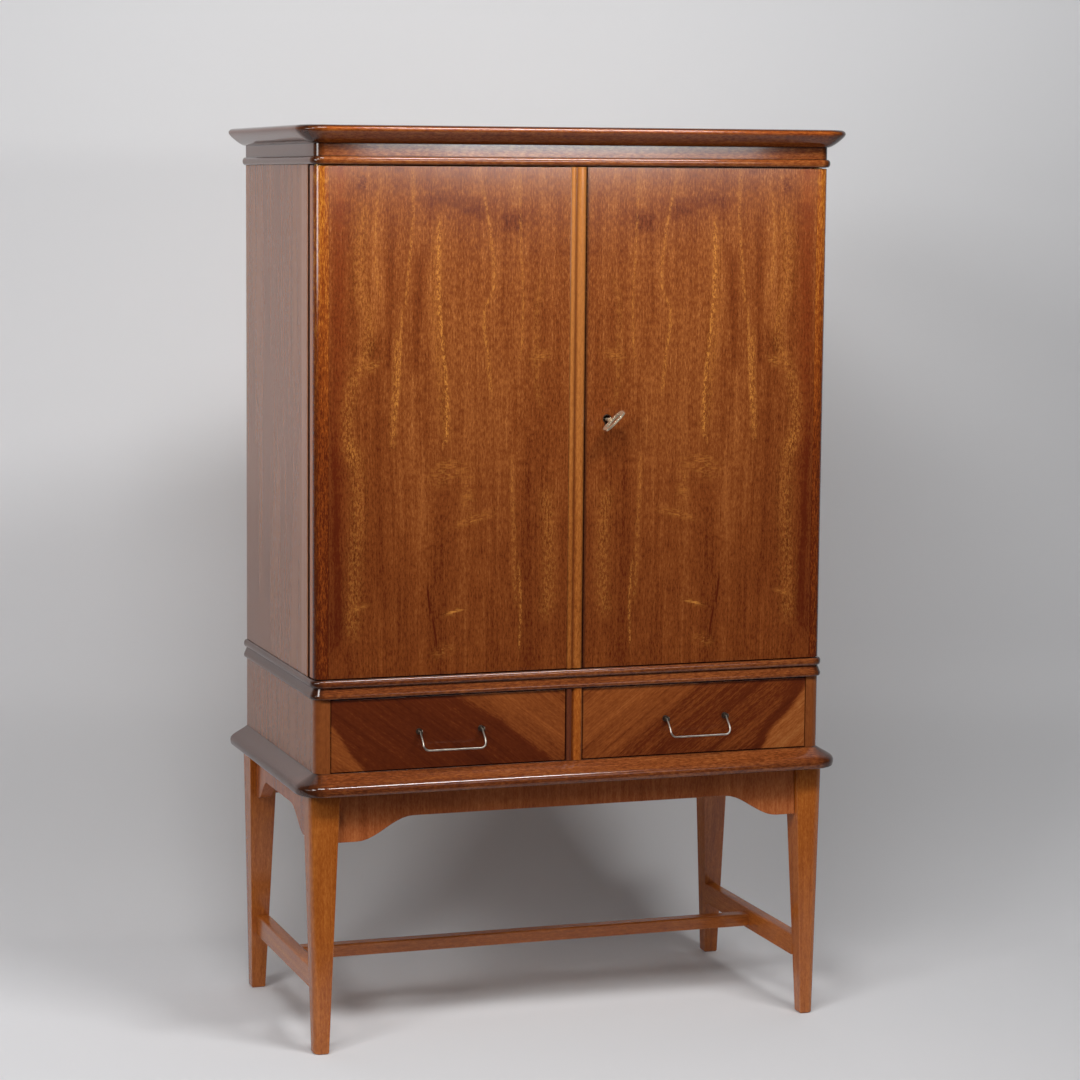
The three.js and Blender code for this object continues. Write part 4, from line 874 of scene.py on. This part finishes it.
# CAD nodes that keep their own shape: (node, arris width in mm, finish)
KEPT = [
    ("leg_front_left", 1.2, leg_finish),
    ("leg_front_right", 1.2, leg_finish),
    ("leg_rear_left", 1.2, leg_finish),
    ("leg_rear_right", 1.2, leg_finish),
    ("apron_front", 0.9, apron_finish),
    ("apron_rear", 0.9, apron_finish),
    ("apron_left", 0.9, apron_finish),
    ("apron_right", 0.9, apron_finish),
    ("stretcher_left", 1.0, rail_y_finish),
    ("stretcher_right", 1.0, rail_y_finish),
    ("stretcher_centre", 1.0, rail_x_finish),
    ("case_bottom", 0.4, inner_x_finish),
    ("lower_side_left", 0.4, post_finish),
    ("lower_side_right", 0.4, post_finish),
    ("drawer_divider", 0.3, divider_finish),
    ("case_deck", 0.4, inner_x_finish),
    ("upper_side_left", 0.5, side_finish),
    ("upper_side_right", 0.5, side_finish),
    ("case_top", 0.4, inner_x_finish),
    ("back_panel", 0.4, inner_z_finish),
    ("partition", 0.5, inner_z_finish),
    ("fixed_shelf_left", 0.6, inner_x_finish),
    ("fixed_shelf_right", 0.6, inner_x_finish),
    ("door_left_panel", 0.6, door_finish),
    ("door_right_panel", 0.6, door_finish),
    ("door_left_frame", 0.6, frame_finish),
    ("door_right_frame", 0.6, frame_finish),
    ("meeting_strip", 0.3, strip_finish),
    ("pivot_pin_left_top", 0.3, brass_finish),
    ("pivot_pin_left_bottom", 0.3, brass_finish),
    ("pivot_pin_right_top", 0.3, brass_finish),
    ("pivot_pin_right_bottom", 0.3, brass_finish),
    ("lock_case", 0.5, brass_finish),
    ("lock_bolt", 0.4, nickel_finish),
    ("flush_bolt_top", 0.5, brass_finish),
    ("flush_bolt_bottom", 0.5, brass_finish),
    ("ledge_flap_left", 0.25, brass_finish),
    ("ledge_flap_right", 0.25, brass_finish),
    ("fold_out_shelf", 0.8, rail_x_finish),
    ("shelf_flap_left", 0.25, brass_finish),
    ("shelf_flap_right", 0.25, brass_finish),
    ("shelf_bracket", 0.8, inner_x_finish),
    ("drawer_left_front", 0.8, drawer_finish),
    ("drawer_right_front", 0.8, drawer_finish),
    ("drawer_left_box", 0.6, inner_y_finish),
    ("drawer_right_box", 0.6, inner_y_finish),
    ("drawer_left_bottom", 0.3, inner_x_finish),
    ("drawer_right_bottom", 0.3, inner_x_finish),
    ("drawer_left_pull_post_left", 0.25, dark_nickel_finish),
    ("drawer_left_pull_post_right", 0.25, dark_nickel_finish),
    ("drawer_right_pull_post_left", 0.25, dark_nickel_finish),
    ("drawer_right_pull_post_right", 0.25, dark_nickel_finish),
]
for name, width, finish in KEPT:
    ease_edges(name, width, finish)

# Mouldings, with more points round the corners and along the profile than the solids have.
# A profile is a list of (reach from the case, height above the floor) in mm.
MOULDING_REACH = 29.0
WAIST_REACH = 5.0
FRIEZE_REACH = 5.5
BASE_PROFILE = [
    (10, BASE_BOTTOM), (25, BASE_BOTTOM + 2.2), (28, BASE_BOTTOM + 5.5),
    (MOULDING_REACH, BASE_BOTTOM + 12.0), (27.6, BASE_BOTTOM + 16.5), (23.5, BASE_BOTTOM + 20.5),
    (16, BASE_BOTTOM + 25.0), (7, BASE_BOTTOM + 30.0), (0, BASE_TOP),
]
CORNICE_PROFILE = [
    (0.5, CORNICE_BOTTOM), (6, CORNICE_BOTTOM + 1.6), (14, CORNICE_BOTTOM + 6.2),
    (22.5, CORNICE_BOTTOM + 13.0), (27.4, CORNICE_BOTTOM + 18.0), (MOULDING_REACH, TOTAL_HEIGHT - 6.5),
    (28, TOTAL_HEIGHT - 3.2), (25.2, TOTAL_HEIGHT - 0.9), (21.5, TOTAL_HEIGHT),
]


def bead(low, high, reach):
    """A half-round bead between two heights."""
    steps = 12
    points = []
    for i in range(steps + 1):
        angle = math.pi * i / steps
        rise = max(math.sin(angle), 0.0) ** 0.8
        points.append((reach * rise, (low + high) / 2 - math.cos(angle) * (high - low) / 2))
    return points


def held_in(profile, reach):
    """Keeps a smoothed profile inside the solid's reach and heights."""
    low, high = profile[0][1], profile[-1][1]
    return [(min(r, reach), min(max(z, low), high)) for r, z in profile]


# Shares of the reach and of the height up to the next member: a round nose, then a straight slope
NOSING_SHARES = [(0.0, 0.0), (0.68, 0.03), (0.92, 0.11), (1.0, 0.24), (0.96, 0.35), (0.82, 0.45)]


def nosing(low, high, reach):
    """The lower member of the waist moulding."""
    points = [(reach * out, low + (high - low) * rise) for out, rise in NOSING_SHARES]
    return held_in(smooth_profile(points), reach)


base_profile = held_in(smooth_profile(BASE_PROFILE), MOULDING_REACH)
waist_profile = nosing(WAIST_BOTTOM, WAIST_MIDDLE, WAIST_REACH) + bead(WAIST_MIDDLE, WAIST_TOP, WAIST_REACH)
frieze_profile = bead(FRIEZE_BOTTOM, BEAD_TOP, FRIEZE_REACH) + [(0.0, CORNICE_BOTTOM)]
cornice_profile = held_in(smooth_profile(CORNICE_PROFILE), MOULDING_REACH)
# (CAD node, profile, inner, finish, slot)
MOULDINGS = [
    ("base_moulding", base_profile, (BASE_INNER_HALF, BASE_RAIL_DEPTH), moulding_finish, "moulding_wood"),
    ("waist_moulding", waist_profile, (INNER_HALF, RAIL_DEPTH), moulding_finish, "moulding_wood"),
    ("frieze", frieze_profile, (INNER_HALF, RAIL_DEPTH), frieze_finish, "door_veneer"),
    ("cornice", cornice_profile, None, cornice_finish, "moulding_wood"),
]


def drilled(mesh, holes):
    """The mesh with upright round holes in it, each (x, depth behind the front, radius, low z, high z)."""
    runs = []
    for x, y, radius, low, high in holes:
        ends = [Vector((x, y + FRONT_Y, z)) * MM for z in (low, high)]
        runs.append((ends, radius * MM))
    pair = []
    for part in (mesh, rod_mesh(runs, sides=24)):
        obj = bpy.data.objects.new("part", part)
        bpy.context.scene.collection.objects.link(obj)
        pair.append(obj)
    board, drill = pair
    cut = board.modifiers.new("holes", "BOOLEAN")
    cut.object = drill
    cut.operation = "DIFFERENCE"
    cut.solver = "EXACT"
    depsgraph = bpy.context.evaluated_depsgraph_get()
    result = bpy.data.meshes.new_from_object(board.evaluated_get(depsgraph))
    for obj in pair:
        bpy.data.objects.remove(obj)
    result.shade_smooth()
    result.set_sharp_from_angle(angle=SHARP)
    return result


def rail_holes(face, direction):
    """The holes for the pivot pins and the left door's bolt in a rail whose face is at the given height.
    direction is -1 for the rail below the doors and 1 for the one above them."""
    overcut = 4.0
    holes = []
    for x, y, radius, depth in (
        (-PIVOT_X, PIVOT_Y, PIVOT_HOLE, PIVOT_HOLE_DEPTH),
        (PIVOT_X, PIVOT_Y, PIVOT_HOLE, PIVOT_HOLE_DEPTH),
        (BOLT_X, BOLT_Y, BOLT_HOLE, BOLT_HOLE_DEPTH),
    ):
        low, high = sorted((face - direction * overcut, face + direction * depth))
        holes.append((x, y, radius, low, high))
    return holes


HOLES = {"waist_moulding": rail_holes(WAIST_TOP, -1), "frieze": rail_holes(FRIEZE_BOTTOM, 1)}
for name, profile, inner, finish, slot_name in MOULDINGS:
    run = moulding_mesh(profile, inner)
    if name in HOLES:
        run = drilled(run, HOLES[name])
    new_piece(name + "_run", run, finish, "case", name)

# Bails: a bent wire with a cross pin at each end, in the forks of the two posts
HANDLE_Z = 506.0
DRAWER_CENTRE = 206.5
PULL_HALF_WIDTH = 51.0
BAIL_WIRE = 1.5
BAIL_AXIS_Y = -7.0
BAIL_DROP = 26.0
BAIL_LEAN = 20.5
BAIL_CORNER = 9.0
BAIL_PIN = 0.8
BAIL_PIN_HALF = 3.4
BAIL_END = 0.6


def bail_mesh(centre):
    """The wire comes forward as it falls from each pin, turns the lower corner and runs level."""
    straight = BAIL_DROP - BAIL_CORNER
    straight_steps, corner_steps = 8, 10
    flat = [(PULL_HALF_WIDTH, -BAIL_END)]
    for i in range(1, straight_steps + 1):
        flat.append((PULL_HALF_WIDTH, straight * i / straight_steps))
    for i in range(1, corner_steps + 1):
        angle = math.radians(90.0 * i / corner_steps)
        x = PULL_HALF_WIDTH - BAIL_CORNER * (1.0 - math.cos(angle))
        flat.append((x, straight + BAIL_CORNER * math.sin(angle)))

    def place(x, drop):
        lean = BAIL_LEAN * math.sin(math.pi / 2 * drop / BAIL_DROP)
        return Vector((centre + x, FRONT_Y + BAIL_AXIS_Y - lean, HANDLE_Z - drop)) * MM

    wire = [place(-x, drop) for x, drop in flat] + [place(x, drop) for x, drop in reversed(flat)]
    runs = [(wire, BAIL_WIRE * MM)]
    for x in (-PULL_HALF_WIDTH, PULL_HALF_WIDTH):
        runs.append(([place(x - BAIL_PIN_HALF, 0.0), place(x + BAIL_PIN_HALF, 0.0)], BAIL_PIN * MM))
    return rod_mesh(runs)


for side, sign in (("left", -1.0), ("right", 1.0)):
    bail = bail_mesh(sign * DRAWER_CENTRE)
    new_piece("bail_wire_" + side, bail, nickel_finish, "bail_" + side, f"drawer_{side}_bail")

ease_edges("key", 0.9, key_finish, 3)
ease_edges("escutcheon", 0.25, dark_nickel_finish)

# Stage: a pale floor that turns up into a backdrop close behind the cabinet.
# The tones are painted light and shade on the paper at each height in mm. Painted shade darkens it to the
# right by a little per mm.
PAINTED_SHADE_PER_MM = 0.00008
PAPER_LIGHT_BY_HEIGHT = [
    (-10, 0.70), (60, 0.64), (260, 0.60), (420, 0.68), (900, 0.67), (1500, 0.61), (2400, 0.63),
]


def backdrop_material():
    """Painted paper seen from the front only, so that views from behind aren't blocked."""
    net = Net("backdrop_paper")
    cloud = net.noise(net.x * 0.0012, net.y * 0.0012, net.z * 0.0012, detail=2.0)
    wall = net.curve(net.z, PAPER_LIGHT_BY_HEIGHT)
    across = net.x * math.cos(CAMERA_YAW) - net.y * math.sin(CAMERA_YAW)
    level = net.clamp(wall + cloud * 0.03 - across * PAINTED_SHADE_PER_MM)
    colour = net.mix(level, (0.0, 0.0, 0.0, 1.0), (1.0, 1.0, 1.02, 1.0))
    paper = net.node("ShaderNodeBsdfPrincipled")
    net.plug(paper.inputs["Base Color"], colour)
    paper.inputs["Roughness"].default_value = 0.9
    paper.inputs["Specular IOR Level"].default_value = 0.1
    clear = net.node("ShaderNodeBsdfTransparent")
    back = net.node("ShaderNodeNewGeometry")
    blend = net.node("ShaderNodeMixShader")
    output = net.node("ShaderNodeOutputMaterial")
    net.tree.links.new(back.outputs["Backfacing"], blend.inputs[0])
    net.tree.links.new(paper.outputs[0], blend.inputs[1])
    net.tree.links.new(clear.outputs[0], blend.inputs[2])
    net.tree.links.new(blend.outputs[0], output.inputs[0])
    return net.material


def backdrop():
    """Paper square to the camera: level floor, a curve, then upright. s runs away from it, in metres."""
    floor_front, curve_start, radius = -0.7, 0.36, 0.5
    curve_steps = 24
    columns = (-6.0, -2.0, 2.0, 6.0)
    path = [(floor_front, 0.0), (-0.3, 0.0), (curve_start, 0.0)]
    for i in range(1, curve_steps + 1):
        angle = math.radians(90.0 * i / curve_steps)
        path.append((curve_start + radius * math.sin(angle), radius - radius * math.cos(angle)))
    path += [(curve_start + radius, 2.0), (curve_start + radius, 4.5)]
    ahead = Vector((math.sin(CAMERA_YAW), math.cos(CAMERA_YAW), 0.0))
    across = Vector((math.cos(CAMERA_YAW), -math.sin(CAMERA_YAW), 0.0))
    bm = bmesh.new()
    rows = []
    for s, z in path:
        middle = ahead * s + Vector((0.0, 0.0, z))
        rows.append([bm.verts.new(middle + across * t) for t in columns])
    for a, b in zip(rows, rows[1:]):
        for k in range(len(columns) - 1):
            bm.faces.new((a[k], a[k + 1], b[k + 1], b[k]))
    mesh = bpy.data.meshes.new("backdrop")
    bm.to_mesh(mesh)
    bm.free()
    mesh.shade_smooth()
    obj = bpy.data.objects.new("backdrop", mesh)
    bpy.context.scene.collection.objects.link(obj)
    mesh.materials.append(backdrop_material())


backdrop()


def lamp(name, place, target, size, power, spread=180.0):
    """A rectangular lamp. Places and size are in metres, power in watts, spread in degrees."""
    light = bpy.data.lights.new(name, "AREA")
    light.shape = "RECTANGLE"
    light.size, light.size_y = size
    light.energy = power
    light.spread = math.radians(spread)
    obj = bpy.data.objects.new(name, light)
    bpy.context.scene.collection.objects.link(obj)
    obj.location = place
    aim = Vector(target) - Vector(place)
    obj.rotation_euler = aim.to_track_quat("-Z", "Y").to_euler()


lamp("overhead_right", (0.65, -1.7, 3.0), (0.1, -0.1, 0.8), (0.9, 0.4), 44.0)
lamp("overhead_left", (-0.9, -1.8, 3.0), (-0.1, 0.0, 0.8), (1.2, 0.6), 45.0)
lamp("left_front", (-3.2, -2.4, 2.6), (0.0, 0.0, 0.9), (1.0, 1.0), 50.0)
# Narrow beams whose reflections make the sheen of the frieze and the line down the left door's corner
lamp("sheen_wide", (1.41, -4.3, 1.65), (-0.08, 0.0, 1.55), (1.5, 0.4), 1.2, 44.0)
lamp("sheen_core", (1.41, -4.29, 1.65), (-0.08, 0.0, 1.55), (0.7, 0.4), 0.29, 44.0)
lamp("left_window", (-3.1, -0.95, 1.45), (-0.42, -0.2, 1.3), (1.2, 0.7), 1.6, 44.0)
world = bpy.data.worlds.new("room")
bpy.context.scene.world = world
world.use_nodes = True
world.node_tree.nodes["Background"].inputs[0].default_value = (0.92, 0.93, 0.96, 1.0)
world.node_tree.nodes["Background"].inputs[1].default_value = 0.04

# Camera
yaw, pitch, roll = CAMERA_YAW, CAMERA_PITCH, CAMERA_ROLL
forward = Vector((math.sin(yaw) * math.cos(pitch), math.cos(yaw) * math.cos(pitch), -math.sin(pitch)))
level_right = Vector((math.cos(yaw), -math.sin(yaw), 0.0))
level_up = level_right.cross(forward)
right = level_right * math.cos(roll) + level_up * math.sin(roll)
up = level_up * math.cos(roll) - level_right * math.sin(roll)
lens = bpy.data.cameras.new("camera")
lens.sensor_fit = "HORIZONTAL"
lens.sensor_width = 36.0
lens.lens = CAMERA_LENS
lens.shift_x, lens.shift_y = CAMERA_SHIFT
camera = bpy.data.objects.new("camera", lens)
bpy.context.scene.collection.objects.link(camera)
place = Matrix((right, up, -forward)).transposed().to_4x4()
place.translation = CAMERA_PLACE
camera.matrix_world = place
bpy.context.scene.camera = camera
bpy.context.scene.view_settings.view_transform = "Standard"
